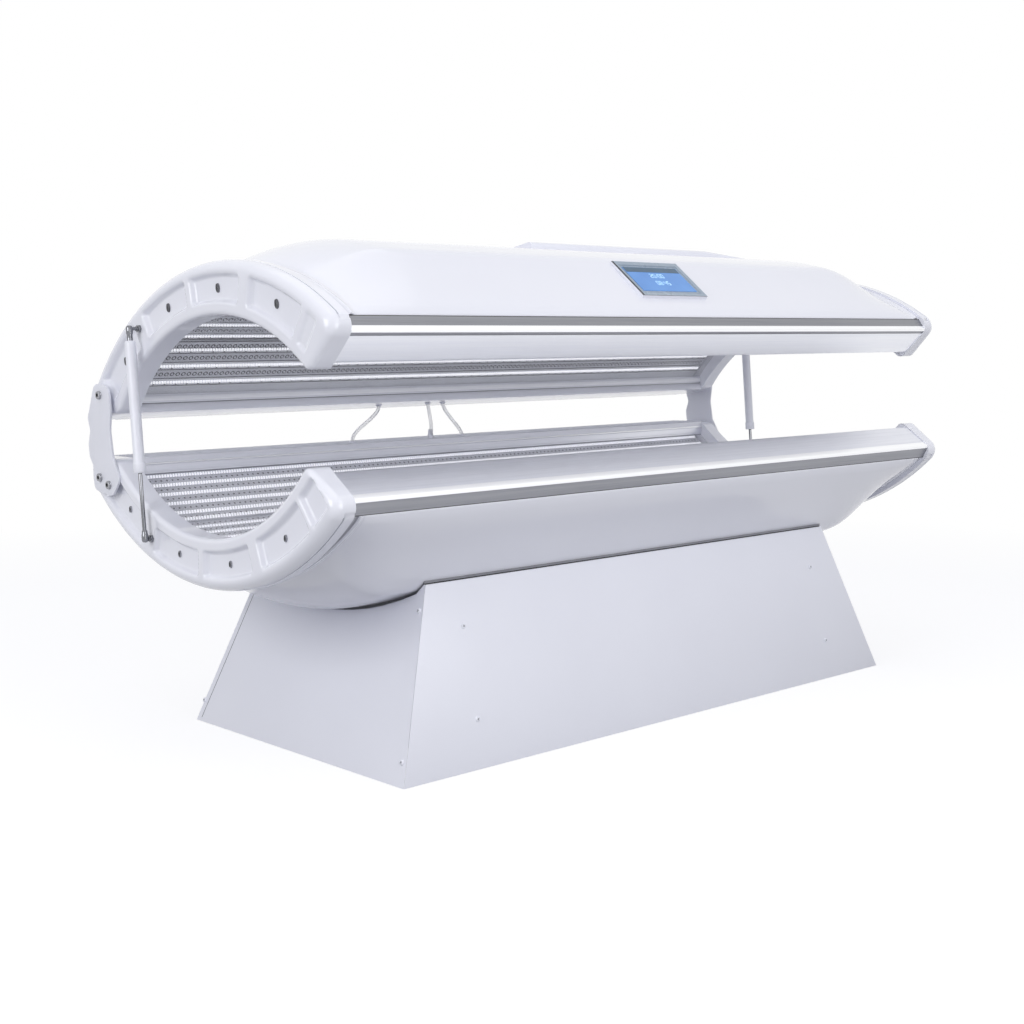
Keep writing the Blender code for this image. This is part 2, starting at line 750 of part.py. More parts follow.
def bolt_profile(grip):
    socket_floor = BOLT_HEAD - BOLT_SOCKET_DEPTH
    return [
        (0, socket_floor),
        (BOLT_SOCKET_RADIUS, socket_floor),
        (BOLT_SOCKET_RADIUS, BOLT_HEAD),
        (BOLT_HEAD_RADIUS - BOLT_HEAD_CHAMFER, BOLT_HEAD),
        (BOLT_HEAD_RADIUS, BOLT_HEAD - BOLT_HEAD_CHAMFER),
        (BOLT_HEAD_RADIUS, 0),
        (BOLT_RADIUS, 0),
        (BOLT_RADIUS, -grip),
        (0, -grip),
    ]


def make_bolt(name, place, side, half):
    grip = half_length - half.face + PLATE_THICKNESS + BOLT_GRIP - FIT
    bolt = turned(name, bolt_profile(grip), 14)
    bolt.location = (side * (half_length + PLATE_THICKNESS + 2 * FIT), *place)
    bolt.rotation_euler = (0, side * math.pi / 2, 0)
    keep(bolt, steel, half, smooth=True)


def make_hinges():
    for end, side in end_names:
        holes = [ring(place, BOLT_RADIUS + FIT) for place in [hinge, *hinge_bolt_places()]]
        near = side * (half_length + FIT)
        plate = outline(f"hinge_plate_{end}", [plate_loop(), *holes], near, near + side * PLATE_THICKNESS)
        keep(plate, powder_white)
        for number, place in enumerate(hinge_bolt_places(), 1):
            make_bolt(f"hinge_bolt_{end}_{number}", place, side, bed)
        make_bolt(f"pivot_bolt_{end}", Vector((0, 0)), side, canopy)


lower_ball = polar(CAP_RADIUS - LOWER_BALL_INSET, LOWER_BALL_ANGLE)
upper_ball = canopy.at(*polar(CAP_RADIUS - UPPER_BALL_INSET, UPPER_BALL_ANGLE))


def stud_profile(half):
    reach = half_length + STRUT_OFFSET - half.face - FIT
    neck_turn = math.pi - math.asin(STUD_SHANK_RADIUS / BALL_RADIUS)
    points = []
    steps = 7
    for i in range(steps + 1):
        turn = neck_turn * i / steps
        points.append((BALL_RADIUS * math.sin(turn), BALL_RADIUS * math.cos(turn)))
    points += [(STUD_SHANK_RADIUS, STUD_FLANGE - reach), (STUD_FLANGE_RADIUS, STUD_FLANGE - reach)]
    points += [(STUD_FLANGE_RADIUS, -reach), (0, -reach)]
    return points


def make_stud(name, place, side, half):
    stud = turned(name, stud_profile(half), 14)
    stud.location = (side * (half_length + STRUT_OFFSET), *place)
    stud.rotation_euler = (0, side * math.pi / 2, 0)
    keep(stud, steel, half, smooth=True)


def strut_line():
    top = opened(upper_ball)
    along = top - lower_ball
    return top, along.length, math.atan2(-along.x, along.y)


def add_eye(thing, name, x):
    origin = thing.location
    place = Vector((origin.y, origin.z))
    reach = EYE_WIDTH / 2
    eye = rod_along_x(name + "_eye", EYE_RADIUS, x - reach, x + reach, place)
    hole = rod_along_x(name + "_hole", BALL_RADIUS + FIT, x - 2 * reach, x + 2 * reach, place)
    join(thing, as_cutter(eye), "UNION")
    join(thing, as_cutter(hole), "DIFFERENCE")


def make_strut(end, side):
    top, length, lean = strut_line()
    x = side * (half_length + STRUT_OFFSET)
    seat = EYE_RADIUS - EYE_OVERLAP
    cylinder_profile = [
        (0, -seat),
        (CYLINDER_NECK_RADIUS, -seat),
        (CYLINDER_NECK_RADIUS, -CYLINDER_NECK),
        (CYLINDER_RADIUS, -CYLINDER_NECK),
        (CYLINDER_RADIUS, COLLAR_LENGTH - CYLINDER_LENGTH),
        (COLLAR_RADIUS, COLLAR_LENGTH - CYLINDER_LENGTH),
        (COLLAR_RADIUS, -CYLINDER_LENGTH),
        (CYLINDER_BORE, -CYLINDER_LENGTH),
        (CYLINDER_BORE, -CYLINDER_NECK - CYLINDER_RADIUS),
        (0, -CYLINDER_NECK - CYLINDER_RADIUS),
    ]
    cylinder = turned(f"strut_cylinder_{end}", cylinder_profile)
    cylinder.location = (x, *top)
    cylinder.rotation_euler = (lean, 0, 0)
    add_eye(cylinder, cylinder.name, x)
    keep(cylinder, gloss_white, smooth=True)
    rod_profile = [
        (0, length - ROD_TIP),
        (ROD_RADIUS, length - ROD_TIP),
        (ROD_RADIUS, ROD_FITTING),
        (ROD_FITTING_RADIUS, ROD_FITTING),
        (ROD_FITTING_RADIUS, seat),
        (0, seat),
    ]
    rod = turned(f"strut_rod_{end}", rod_profile)
    rod.location = (x, *lower_ball)
    rod.rotation_euler = (lean, 0, 0)
    add_eye(rod, rod.name, x)
    keep(rod, steel, smooth=True)
    make_stud(f"lower_ball_stud_{end}", lower_ball, side, bed)
    make_stud(f"upper_ball_stud_{end}", upper_ball, side, canopy)


def cover_loop(inset, drop):
    front = COVER_FRONT + inset
    back = COVER_FRONT + COVER_DEPTH - inset
    stops = [front, *(y for y in shell_stops(canopy) if front < y < back), back]
    under = [(Vector((y, shell_height(canopy, y, 1.0) + drop)), 0) for y in stops]
    top = canopy.bottom - COVER_RISE + inset
    crown = [(Vector((back, top)), COVER_ROUND - inset), (Vector((front, top)), COVER_ROUND - inset)]
    return [canopy.at(*point) for point in rounded(under + crown)]


def fan_places():
    middle = (COVER_START + COVER_END) / 2
    return [middle - FAN_SPACING / 2, middle + FAN_SPACING / 2]


def make_cover(shell):
    cover = as_mesh(outline("canopy_top_cover", [cover_loop(0, -FIT)], COVER_START, COVER_END))
    taper_start = COVER_END - COVER_TAPER
    hollow = [cover_loop(COVER_WALL, SHELL_WALL)]
    inner = outline("cover_hollow", hollow, COVER_START + COVER_WALL, taper_start)
    join(cover, as_cutter(as_mesh(inner), canopy), "DIFFERENCE")
    top = canopy.bottom - COVER_RISE
    slope = math.atan2(COVER_DROP, COVER_TAPER)
    along = Vector((math.cos(slope), 0, -math.sin(slope)))
    upward = Vector((math.sin(slope), 0, math.cos(slope)))
    edge = Vector((taper_start, *canopy.at(COVER_FRONT + COVER_DEPTH / 2, top)))
    slice_size = (2 * COVER_TAPER, 2 * COVER_DEPTH, COVER_RISE)
    slice_at = edge + along * COVER_TAPER + upward * COVER_RISE / 2
    join(cover, as_cutter(box("cover_taper", slice_size, slice_at, (0, slope, 0)), canopy), "DIFFERENCE")
    for number, x in enumerate(fan_places(), 1):
        for slot in range(VENT_COUNT):
            y = COVER_FRONT + FAN_SETBACK + (slot - (VENT_COUNT - 1) / 2) * VENT_PITCH
            size = (FAN_SIZE, VENT_WIDTH, COVER_WALL * 3)
            vent = box(f"vent_{number}_{slot}", size, (x, *canopy.at(y, top + COVER_WALL / 2)))
            join(cover, as_cutter(vent, canopy), "DIFFERENCE")
        make_fan(number, x, top + COVER_WALL + FIT, shell)
    keep(cover, gloss_white, canopy)


def upright(name, radius, low, high, x, y, segments=20):
    shape = bmesh.new()
    bmesh.ops.create_cone(
        shape, cap_ends=True, segments=segments, radius1=radius, radius2=radius, depth=abs(high - low)
    )
    thing = from_bmesh(name, shape)
    thing.location = (x, *canopy.at(y, (low + high) / 2))
    return thing


# A fan hangs below the cover; heights are given in the lower half's drawing, so they grow downwards
def make_fan(number, x, top, shell):
    y = COVER_FRONT + FAN_SETBACK
    low = top + FAN_HEIGHT
    frame = box(f"fan_frame_{number}", (FAN_SIZE, FAN_SIZE, FAN_HEIGHT), (x, *canopy.at(y, (top + low) / 2)))
    bore = upright(f"fan_bore_{number}", FAN_BORE, top - FIT, low + FIT, x, y)
    join(frame, as_cutter(bore, canopy), "DIFFERENCE")
    spoke_low = low - FAN_SPOKE
    for turn in range(2):
        long_side = 2 * FAN_BORE + FAN_SPOKE
        size = (long_side, FAN_SPOKE * 2, FAN_SPOKE) if turn else (FAN_SPOKE * 2, long_side, FAN_SPOKE)
        spoke = box(f"fan_spoke_{number}_{turn}", size, (x, *canopy.at(y, spoke_low + FAN_SPOKE / 2)))
        join(frame, as_cutter(spoke, canopy), "UNION")
    seat = upright(f"fan_seat_{number}", FAN_HUB, spoke_low, low, x, y, 16)
    join(frame, as_cutter(seat, canopy), "UNION")
    keep(frame, dark_plastic, canopy)
    hub_top = top + FAN_SPOKE
    rotor = upright(f"fan_rotor_{number}", FAN_HUB, hub_top, spoke_low - FIT, x, y, 16)
    chord = FAN_HUB
    for blade in range(BLADE_COUNT):
        turn = 2 * math.pi * blade / BLADE_COUNT
        middle = (FAN_HUB + BLADE_REACH) / 2
        size = (BLADE_REACH - FAN_HUB + FAN_SPOKE, chord, FAN_SPOKE / 2)
        place = canopy.at(y, (hub_top + spoke_low) / 2)
        centre = (x + middle * math.cos(turn), place.x + middle * math.sin(turn), place.y)
        vane = box(f"fan_vane_{number}_{blade}", size, centre, (math.radians(30), 0, turn))
        join(rotor, as_cutter(vane, canopy), "UNION")
    keep(rotor, dark_plastic, canopy)
    intake = upright(f"fan_intake_{number}", FAN_BORE, low, low + 4 * FAN_HEIGHT, x, y)
    join(shell, as_cutter(intake, canopy), "DIFFERENCE")


def make_screen():
    start = canopy.at(*foot)
    finish = canopy.at(-canopy.crease_y, shell_height(canopy, -canopy.crease_y, 1.0))
    slope = (finish - start).normalized()
    outward = Vector((-slope.y, slope.x))
    tilt = math.tan(math.radians(SCREEN_TILT))

    # A wedge on the shell's sloping front, thickest at its lower edge
    def wedge(name, margin, back, front):
        low = margin
        high = SCREEN_HEIGHT - margin
        corners = ((low, back), (high, back), (high, front - high * tilt), (low, front - low * tilt))
        loop = [start + slope * (SCREEN_RISE + along) + outward * out for along, out in corners]
        reach = SCREEN_WIDTH / 2 - margin
        return as_mesh(outline(name, [loop], SCREEN_X - reach, SCREEN_X + reach))

    bezel = wedge("screen_bezel", 0, FIT, SCREEN_DEPTH)
    opening = wedge("screen_window", SCREEN_BORDER, -SCREEN_DEPTH, 2 * SCREEN_DEPTH)
    join(bezel, as_cutter(opening, canopy), "DIFFERENCE")
    keep(bezel, bezel_grey, canopy)
    keep(wedge("screen_display", SCREEN_BORDER + FIT, FIT, SCREEN_DEPTH - SCREEN_RECESS), screen_blue, canopy)
    behind = -(SHELL_WALL + FIT + CONTROL_BOARD[2] / 2)
    board_at = start + slope * (SCREEN_RISE + SCREEN_HEIGHT / 2) + outward * behind
    turn = (math.atan2(slope.y, slope.x), 0, 0)
    keep(box("control_board", CONTROL_BOARD, (SCREEN_X, *board_at), turn), circuit_green, canopy)


def bezier(points, steps):
    a, b, c, d = points
    knots = []
    for i in range(steps + 1):
        t = i / steps
        s = 1 - t
        knots.append(s ** 3 * a + 3 * s * s * t * b + 3 * s * t * t * c + t ** 3 * d)
    return knots


def make_cables():
    y = rear_wall + CABLE_SETBACK
    head = opened(canopy.at(y, rear_edge))
    turn = math.radians(OPEN_ANGLE)
    down = Vector((0, -math.sin(turn), -math.cos(turn)))
    for number, (foot_x, head_x, sag) in enumerate(CABLE_ROUTES, 1):
        start = Vector((foot_x, y, rear_edge + FIT))
        finish = Vector((head_x, *head)) + down * FIT
        lift = (finish.z - start.z) * CABLE_STIFF_SHARE
        low = start + Vector((0, 0, lift))
        high = finish + down * lift
        low.y += sag
        knots = bezier((start, low, high, finish), 8)
        knots[1].x, knots[1].y = foot_x, y
        knots[-2] = finish + down * (knots[-1] - knots[-2]).length
        curve = bpy.data.curves.new(f"canopy_cable_{number}", "CURVE")
        curve.dimensions = "3D"
        curve.bevel_depth = CABLE_RADIUS
        curve.bevel_resolution = 2
        curve.use_fill_caps = True
        spline = curve.splines.new("POLY")
        spline.points.add(len(knots) - 1)
        for point, knot in zip(spline.points, knots):
            point.co = (*knot, 1)
        keep(bpy.data.objects.new(curve.name, curve), cable_white)


def make_all():
    pivot = bpy.data.objects.new("canopy_pivot", None)
    pivot.location = (0, *hinge)
    pivot.rotation_euler = (math.radians(-OPEN_ANGLE), 0, 0)
    parts.objects.link(pivot)
    canopy.parent = pivot
    make_base()
    make_supply()
    make_half(bed)
    make_half(canopy)
    make_hinges()
    for end, side in end_names:
        make_strut(end, side)
    make_cover(parts.objects["canopy_shell"])
    make_screen()
    make_cables()
    top, length, lean = strut_line()
    print("hinge", hinge[:], "lower ball", lower_ball[:], "upper ball", top[:], "strut length", length)


make_all()
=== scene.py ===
import json
import math

import bmesh
import bpy
from mathutils import Matrix, Vector


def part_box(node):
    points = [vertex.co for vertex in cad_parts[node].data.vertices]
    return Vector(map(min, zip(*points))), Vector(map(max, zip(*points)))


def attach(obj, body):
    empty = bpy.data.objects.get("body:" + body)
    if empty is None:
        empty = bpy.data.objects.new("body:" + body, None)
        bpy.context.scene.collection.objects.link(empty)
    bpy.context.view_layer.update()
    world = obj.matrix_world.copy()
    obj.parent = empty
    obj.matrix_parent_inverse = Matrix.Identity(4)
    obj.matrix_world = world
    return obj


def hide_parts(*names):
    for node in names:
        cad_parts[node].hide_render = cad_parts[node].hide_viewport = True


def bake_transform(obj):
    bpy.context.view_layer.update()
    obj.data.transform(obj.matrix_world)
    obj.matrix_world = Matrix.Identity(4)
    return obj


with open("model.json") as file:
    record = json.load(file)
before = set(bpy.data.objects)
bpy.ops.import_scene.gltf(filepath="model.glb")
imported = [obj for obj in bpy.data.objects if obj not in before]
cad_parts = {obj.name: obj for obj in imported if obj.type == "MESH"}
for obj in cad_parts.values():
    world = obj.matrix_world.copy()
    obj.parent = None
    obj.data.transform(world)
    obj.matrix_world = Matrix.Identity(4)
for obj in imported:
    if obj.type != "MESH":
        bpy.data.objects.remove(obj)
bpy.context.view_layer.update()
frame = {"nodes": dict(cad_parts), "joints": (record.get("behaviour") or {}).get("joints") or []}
scene = bpy.context.scene
scene.view_settings.view_transform = "Standard"
print("frame loaded,", len(frame["nodes"]), "nodes")

fit = 0.0003  # clearance between neighbouring pieces


# Camera

view = {"lens": 54.33, "place": (-2.5404, -2.5421, 0.8495), "yaw": 0.7569, "pitch": 0.1184}


def makeCamera():
    data = bpy.data.cameras.new("photoCamera")
    data.lens = view["lens"]
    data.sensor_width = 36
    camera = bpy.data.objects.new("photoCamera", data)
    level = math.cos(view["pitch"])
    ahead = Vector((math.sin(view["yaw"]) * level, math.cos(view["yaw"]) * level, -math.sin(view["pitch"])))
    camera.location = view["place"]
    camera.rotation_euler = ahead.to_track_quat("-Z", "Y").to_euler()
    scene.collection.objects.link(camera)
    scene.camera = camera


makeCamera()
print("camera set")


# The section that the bed and the canopy share, drawn as the lower half in the YZ plane

section = {
    "capBottom": 0.349,
    "capRadius": 0.596,
    "capDepth": 0.048,
    "lipRadius": 0.4465,
    "lipShift": 0.002,
    "lipRing": 0.101,
    "backAngle": 45.97,
    "backWall": 0.051,
    "shellInset": 0.008,
    "frontAngle": 44.14,
    "noseReach": 0.0149,
    "noseRise": 0.0301,
    "railStep": 0.022,
    "endSlant": 34.7,
    "acrylicRadius": 0.493,
    "acrylicShift": -0.016,
    "acrylicRing": 0.065,
    "acrylicSheet": 0.004,
    "trayGap": 0.0185,
    "rearGap": 0.085,
    "canopyShift": 0.0033,
    "openAngle": 11.0,
}
capCentre = Vector((0, section["capBottom"] + section["capRadius"]))
lipCentre = Vector((section["lipShift"], section["capBottom"] + section["lipRing"] + section["lipRadius"]))
endRadius = section["capRadius"] - section["shellInset"]
backTurn = math.radians(section["backAngle"])
halfWidth = section["capRadius"] * math.sin(backTurn)
backY = halfWidth - section["shellInset"]
rearEdge = capCentre.y - section["capRadius"] * math.cos(backTurn) + section["backWall"]
frontTurn = math.radians(section["frontAngle"])
foot = Vector((-endRadius * math.sin(frontTurn), capCentre.y - endRadius * math.cos(frontTurn)))
railBottom = foot.y + section["railStep"]
railNose = foot + Vector((-section["noseReach"], section["noseRise"]))
endTurn = math.radians(section["endSlant"])
slant = Vector((math.cos(endTurn), math.sin(endTurn)))
acrylicRadius = section["acrylicRadius"]
acrylicBottom = section["capBottom"] + section["acrylicRing"]
acrylicCentre = Vector((section["acrylicShift"], acrylicBottom + acrylicRadius))
trayRadius = acrylicRadius + section["acrylicSheet"] + section["trayGap"]
wallReach = math.sqrt(acrylicRadius ** 2 - (acrylicCentre.y - railBottom) ** 2)
frontWall = acrylicCentre.x - wallReach
rearWall = acrylicCentre.x + wallReach
mirrorLine = rearEdge + section["rearGap"] / 2
jointAt = {joint["name"]: Vector(joint["pos_m"]) for joint in frame["joints"]}
hinge = jointAt["canopy_hinge"]

openTurn = math.radians(section["openAngle"])
swing = Matrix.Translation(hinge) @ Matrix.Rotation(-openTurn, 4, "X") @ Matrix.Translation(-hinge)
upsideDown = Matrix.Translation((0, section["canopyShift"], 2 * mirrorLine)) @ Matrix.Diagonal((1, 1, -1, 1))
halves = {
    "bed": {"place": Matrix.Identity(4), "face": 0.96, "bulge": 0.062, "creaseAngle": 24.5},
    "canopy": {"place": swing @ upsideDown, "face": 0.952, "bulge": 0.046, "creaseAngle": 27.2},
}
for half in halves.values():
    half["inner"] = half["face"] - section["capDepth"]
    half["midRadius"] = section["capRadius"] + half["bulge"]
    half["creaseY"] = half["midRadius"] * math.sin(math.radians(half["creaseAngle"]))
ends = {"left": -1, "right": 1}


# Shared shape helpers

def smoothStep(t):
    t = min(max(t, 0), 1)
    return t * t * (3 - 2 * t)


def between(value, keys):  # straight lines through (place, height) keys
    for (x0, y0), (x1, y1) in zip(keys, keys[1:]):
        if value <= x1:
            return y0 + (y1 - y0) * max(value - x0, 0) / (x1 - x0)
    return keys[-1][1]


def spread(start, stop, count):
    return [start + (stop - start) * i / count for i in range(count + 1)]


def roundOff(shape, geom, width, segments, affect="EDGES", clamp=False):
    bmesh.ops.bevel(
        shape, geom=geom, offset=width, offset_type="OFFSET", segments=segments, profile=0.5,
        affect=affect, clamp_overlap=clamp, material=-1,
    )


def sweepBar(corners, xFrom, xTo, rounds=5):  # corners are (y, z, rounding), swept along the bed
    shape = bmesh.new()
    knots = [shape.verts.new((xFrom, y, z)) for y, z, rounding in corners]
    shape.faces.new(knots)
    for knot, (y, z, rounding) in zip(knots, corners):
        if rounding:
            roundOff(shape, [knot], rounding, rounds, "VERTICES")
    pushOut(shape, shape.faces[:], (xTo - xFrom, 0, 0))
    bmesh.ops.recalc_face_normals(shape, faces=shape.faces)
    return shape


def pushOut(shape, faces, step):  # extrudes faces and moves the new ones
    grown = bmesh.ops.extrude_face_region(shape, geom=faces)
    tips = [part for part in grown["geom"] if isinstance(part, bmesh.types.BMVert)]
    bmesh.ops.translate(shape, vec=step, verts=tips)


def turnedShape(profile, steps=24):  # (radius, height) pairs spun about Z
    shape = bmesh.new()
    knots = [shape.verts.new((radius, 0, height)) for radius, height in profile]
    edges = [shape.edges.new(pair) for pair in zip(knots, knots[1:])]
    bmesh.ops.spin(
        shape, geom=knots + edges, axis=(0, 0, 1), cent=(0, 0, 0), angle=2 * math.pi, steps=steps,
        use_merge=True,
    )
    bmesh.ops.remove_doubles(shape, verts=shape.verts, dist=1e-6)
    bmesh.ops.recalc_face_normals(shape, faces=shape.faces)
    return shape


def shift(x, y, z):
    return Matrix.Translation((x, y, z))


def block(size, place=Matrix.Identity(4), bevel=0.0):
    shape = bmesh.new()
    bmesh.ops.create_cube(shape, size=1.0, matrix=Matrix.Diagonal((*size, 1.0)))
    if bevel:
        roundOff(shape, shape.edges[:], bevel, 1)
    bmesh.ops.transform(shape, matrix=place, verts=shape.verts)
    return shape


def hexagon(radius, low, high, bevel):
    shape = bmesh.new()
    bmesh.ops.create_cone(
        shape, cap_ends=True, segments=6, radius1=radius, radius2=radius, depth=high - low,
        matrix=shift(0, 0, (low + high) / 2),
    )
    rims = [edge for edge in shape.edges if abs(edge.verts[0].co.z - edge.verts[1].co.z) < 1e-6]
    roundOff(shape, rims, bevel, 2)
    return shape


def paintFaces(shape, paint):
    for face in shape.faces:
        face.material_index = paint


def moveShape(shape, place):  # a mirrored shape keeps its faces outward
    bmesh.ops.transform(shape, matrix=place, verts=shape.verts)
    if place.determinant() < 0:
        bmesh.ops.reverse_faces(shape, faces=shape.faces)


def faceWay(shape, down):  # turns a sheet so that its lowest face looks down or up
    probe = min(shape.faces, key=lambda face: face.calc_center_median().z)
    probe.normal_update()
    if (probe.normal.z < 0) != down:
        bmesh.ops.reverse_faces(shape, faces=shape.faces)


def thicken(thing, name, thickness):
    wall = thing.modifiers.new(name, "SOLIDIFY")
    wall.thickness = thickness
    wall.offset = -1


def addTo(shape, other, place=Matrix.Identity(4), paint=None):
    if paint is not None:
        paintFaces(other, paint)
    moveShape(other, place)
    scrap = bpy.data.meshes.new("scrap")
    other.to_mesh(scrap)
    other.free()
    shape.from_mesh(scrap)
    bpy.data.meshes.remove(scrap)


def softCopy(node, width, segments=3, angle=30):  # a CAD solid with its sharp edges rounded
    shape = bmesh.new()
    shape.from_mesh(frame["nodes"][node].data)
    paintFaces(shape, 0)
    bmesh.ops.remove_doubles(shape, verts=shape.verts, dist=1e-5)
    bmesh.ops.dissolve_limit(shape, angle_limit=math.radians(1), verts=shape.verts, edges=shape.edges)
    sharp = [
        edge for edge in shape.edges
        if len(edge.link_faces) == 2 and edge.calc_face_angle() > math.radians(angle)
    ]
    roundOff(shape, sharp, width, segments, clamp=True)
    return shape


def putPiece(name, shape, paints, body, replaced=(), place=None, sharp=40):
    if place is not None:
        moveShape(shape, place)
    mesh = bpy.data.meshes.new(name)
    shape.to_mesh(mesh)
    shape.free()
    mesh.shade_smooth()
    mesh.set_sharp_from_angle(angle=math.radians(sharp))
    for paint in paints:
        mesh.materials.append(paint)
    thing = bpy.data.objects.new(name, mesh)
    scene.collection.objects.link(thing)
    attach(thing, body)
    if replaced:
        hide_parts(*replaced)
    return thing


# Shader node groups

def newGroup(name, inputs):  # each group gives a colour, a roughness and a height
    group = bpy.data.node_groups.new(name, "ShaderNodeTree")
    for label, value in inputs.items():
        kind = "NodeSocketFloat" if isinstance(value, float) else "NodeSocketColor"
        group.interface.new_socket(label, in_out="INPUT", socket_type=kind).default_value = value
    for label, kind in (("Colour", "Color"), ("Roughness", "Float"), ("Height", "Float")):
        group.interface.new_socket(label, in_out="OUTPUT", socket_type=f"NodeSocket{kind}")
    start = group.nodes.new("NodeGroupInput")
    finish = group.nodes.new("NodeGroupOutput")
    return group, start, finish


def addNode(tree, kind, **settings):
    node = tree.nodes.new(kind)
    for key, value in settings.items():
        if key in node.inputs:
            node.inputs[key].default_value = value
        else:
            setattr(node, key, value)
    return node


def join(tree, start, output, finish, entry):
    tree.links.new(start.outputs[output], finish.inputs[entry])


def noiseOn(tree, vector, scale, detail, roughness=0.5):
    node = addNode(tree, "ShaderNodeTexNoise", Scale=scale, Detail=detail, Roughness=roughness)
    tree.links.new(vector, node.inputs["Vector"])
    return node


def stretch(tree, low, high, value, lowOut=0.0, highOut=1.0):
    limits = {"From Min": low, "From Max": high, "To Min": lowOut, "To Max": highOut}
    node = addNode(tree, "ShaderNodeMapRange", **limits)
    tree.links.new(value, node.inputs["Value"])
    return node.outputs["Result"]


def mixColours(tree, factor, first, second):
    node = addNode(tree, "ShaderNodeMix", data_type="RGBA")
    tree.links.new(factor, node.inputs["Factor"])
    tree.links.new(first, node.inputs[6])
    tree.links.new(second, node.inputs[7])
    return node.outputs[2]


# The mask picks between two colours and two roughnesses
def closeGroup(group, start, finish, mask, colours, height):
    colour = mixColours(group, mask, *(start.outputs[label] for label in colours))
    rough = addNode(group, "ShaderNodeMapRange")
    group.links.new(mask, rough.inputs["Value"])
    join(group, start, "Smooth", rough, "To Min")
    join(group, start, "Rough", rough, "To Max")
    group.links.new(colour, finish.inputs["Colour"])
    join(group, rough, "Result", finish, "Roughness")
    group.links.new(height, finish.inputs["Height"])
    return group


def makeCoatGroup():  # moulded or sprayed skin: faint clouding, fine orange peel
    inputs = {
        "Colour": (0.8, 0.8, 0.8, 1), "Shade": (0.7, 0.7, 0.7, 1), "Cloud Scale": 3.0, "Peel Scale": 180.0,
        "Smooth": 0.15, "Rough": 0.25,
    }
    group, start, finish = newGroup("sprayedSkin", inputs)
    where = addNode(group, "ShaderNodeTexCoord").outputs["Object"]
    cloud = noiseOn(group, where, 3.0, 3.0)
    join(group, start, "Cloud Scale", cloud, "Scale")
    mask = stretch(group, 0.35, 0.7, cloud.outputs["Fac"])
    peel = noiseOn(group, where, 180.0, 2.0)
    join(group, start, "Peel Scale", peel, "Scale")
    return closeGroup(group, start, finish, mask, ("Colour", "Shade"), peel.outputs["Fac"])


def makeBrushGroup():  # metal with fine lines drawn along the bed
    inputs = {"Light": (0.8, 0.8, 0.82, 1), "Dark": (0.5, 0.5, 0.52, 1), "Smooth": 0.25, "Rough": 0.45}
    group, start, finish = newGroup("brushedLines", inputs)
    where = addNode(group, "ShaderNodeTexCoord").outputs["Object"]
    along = addNode(group, "ShaderNodeMapping", Scale=(0.012, 1.0, 1.0))
    group.links.new(where, along.inputs["Vector"])
    lines = noiseOn(group, along.outputs["Vector"], 900.0, 4.0, 0.6)
    bands = noiseOn(group, along.outputs["Vector"], 90.0, 2.0)
    total = addNode(group, "ShaderNodeMath", operation="ADD")
    join(group, lines, "Fac", total, 0)
    join(group, bands, "Fac", total, 1)
    mask = stretch(group, 0.75, 1.25, total.outputs["Value"])
    return closeGroup(group, start, finish, mask, ("Light", "Dark"), lines.outputs["Fac"])


sprayedSkin = makeCoatGroup()
brushedLines = makeBrushGroup()


def newMaterial(name):
    made = bpy.data.materials.new(name)
    made.use_nodes = True
    return made, made.node_tree, made.node_tree.nodes["Principled BSDF"]


def addEffect(tree, shader, group, values):
    effect = addNode(tree, "ShaderNodeGroup", node_tree=group)
    for label, value in values.items():
        effect.inputs[label].default_value = value if isinstance(value, float) else (*value, 1)
    join(tree, effect, "Colour", shader, "Base Color")
    join(tree, effect, "Roughness", shader, "Roughness")
    return effect


def groupMaterial(name, group, values, bump, metallic=0.0, coat=0.0, glow=0.0, clear=0.0, shine=0.5):
    made, tree, shader = newMaterial(name)
    effect = addEffect(tree, shader, group, values)
    if bump:
        relief = addNode(tree, "ShaderNodeBump", Strength=0.3, Distance=bump)
        join(tree, effect, "Height", relief, "Height")
        join(tree, relief, "Normal", shader, "Normal")
    settings = {
        "Metallic": metallic, "Coat Weight": coat, "Coat Roughness": 0.05, "Specular IOR Level": shine,
        "Transmission Weight": clear,
    }
    for label, value in settings.items():
        shader.inputs[label].default_value = value
    if glow:
        join(tree, effect, "Colour", shader, "Emission Color")
        shader.inputs["Emission Strength"].default_value = glow
    return made


def skin(name, colour, shade, smooth, rough, cloud=3.0, peel=180.0, bump=0.0002, **more):
    values = {"Colour": colour, "Shade": shade, "Smooth": smooth, "Rough": rough}
    values.update({"Cloud Scale": cloud, "Peel Scale": peel})
    return groupMaterial(name, sprayedSkin, values, bump, **more)


def flatSkin(name, colour, shade, smooth, rough, **more):
    return skin(name, colour, shade, smooth, rough, bump=0.0, **more)


def brushed(name, light, dark, smooth, rough, bump=0.0001, **more):
    values = {"Light": light, "Dark": dark, "Smooth": smooth, "Rough": rough}
    return groupMaterial(name, brushedLines, values, bump, **{"metallic": 1.0, **more})


glossWhite = skin("glossWhite", (0.84, 0.852, 0.925), (0.82, 0.832, 0.905), 0.12, 0.2, coat=0.4)
capWhite = skin("capWhite", (0.85, 0.862, 0.93), (0.825, 0.837, 0.91), 0.13, 0.22, cloud=5.0, coat=0.4)
powderWhite = skin("powderWhite", (0.83, 0.842, 0.915), (0.81, 0.822, 0.895), 0.34, 0.46, peel=420.0, bump=0.0004)
plateWhite = skin("plateWhite", (0.84, 0.852, 0.92), (0.815, 0.827, 0.9), 0.28, 0.4, peel=500.0, bump=0.0003)
# painted shade: the dark grey of grooves, slots, seams and the strip in the base's gap
grooveShadeGrey = skin("grooveShadeGrey", (0.24, 0.245, 0.27), (0.2, 0.205, 0.23), 0.4, 0.55, cloud=20.0)
# painted shade for the groove in the bed shell's collar
collarShadeGrey = skin("collarShadeGrey", (0.5, 0.505, 0.55), (0.45, 0.455, 0.5), 0.3, 0.45, cloud=20.0)
frameBoard = skin("frameBoard", (0.78, 0.785, 0.82), (0.72, 0.725, 0.76), 0.45, 0.6, cloud=12.0)
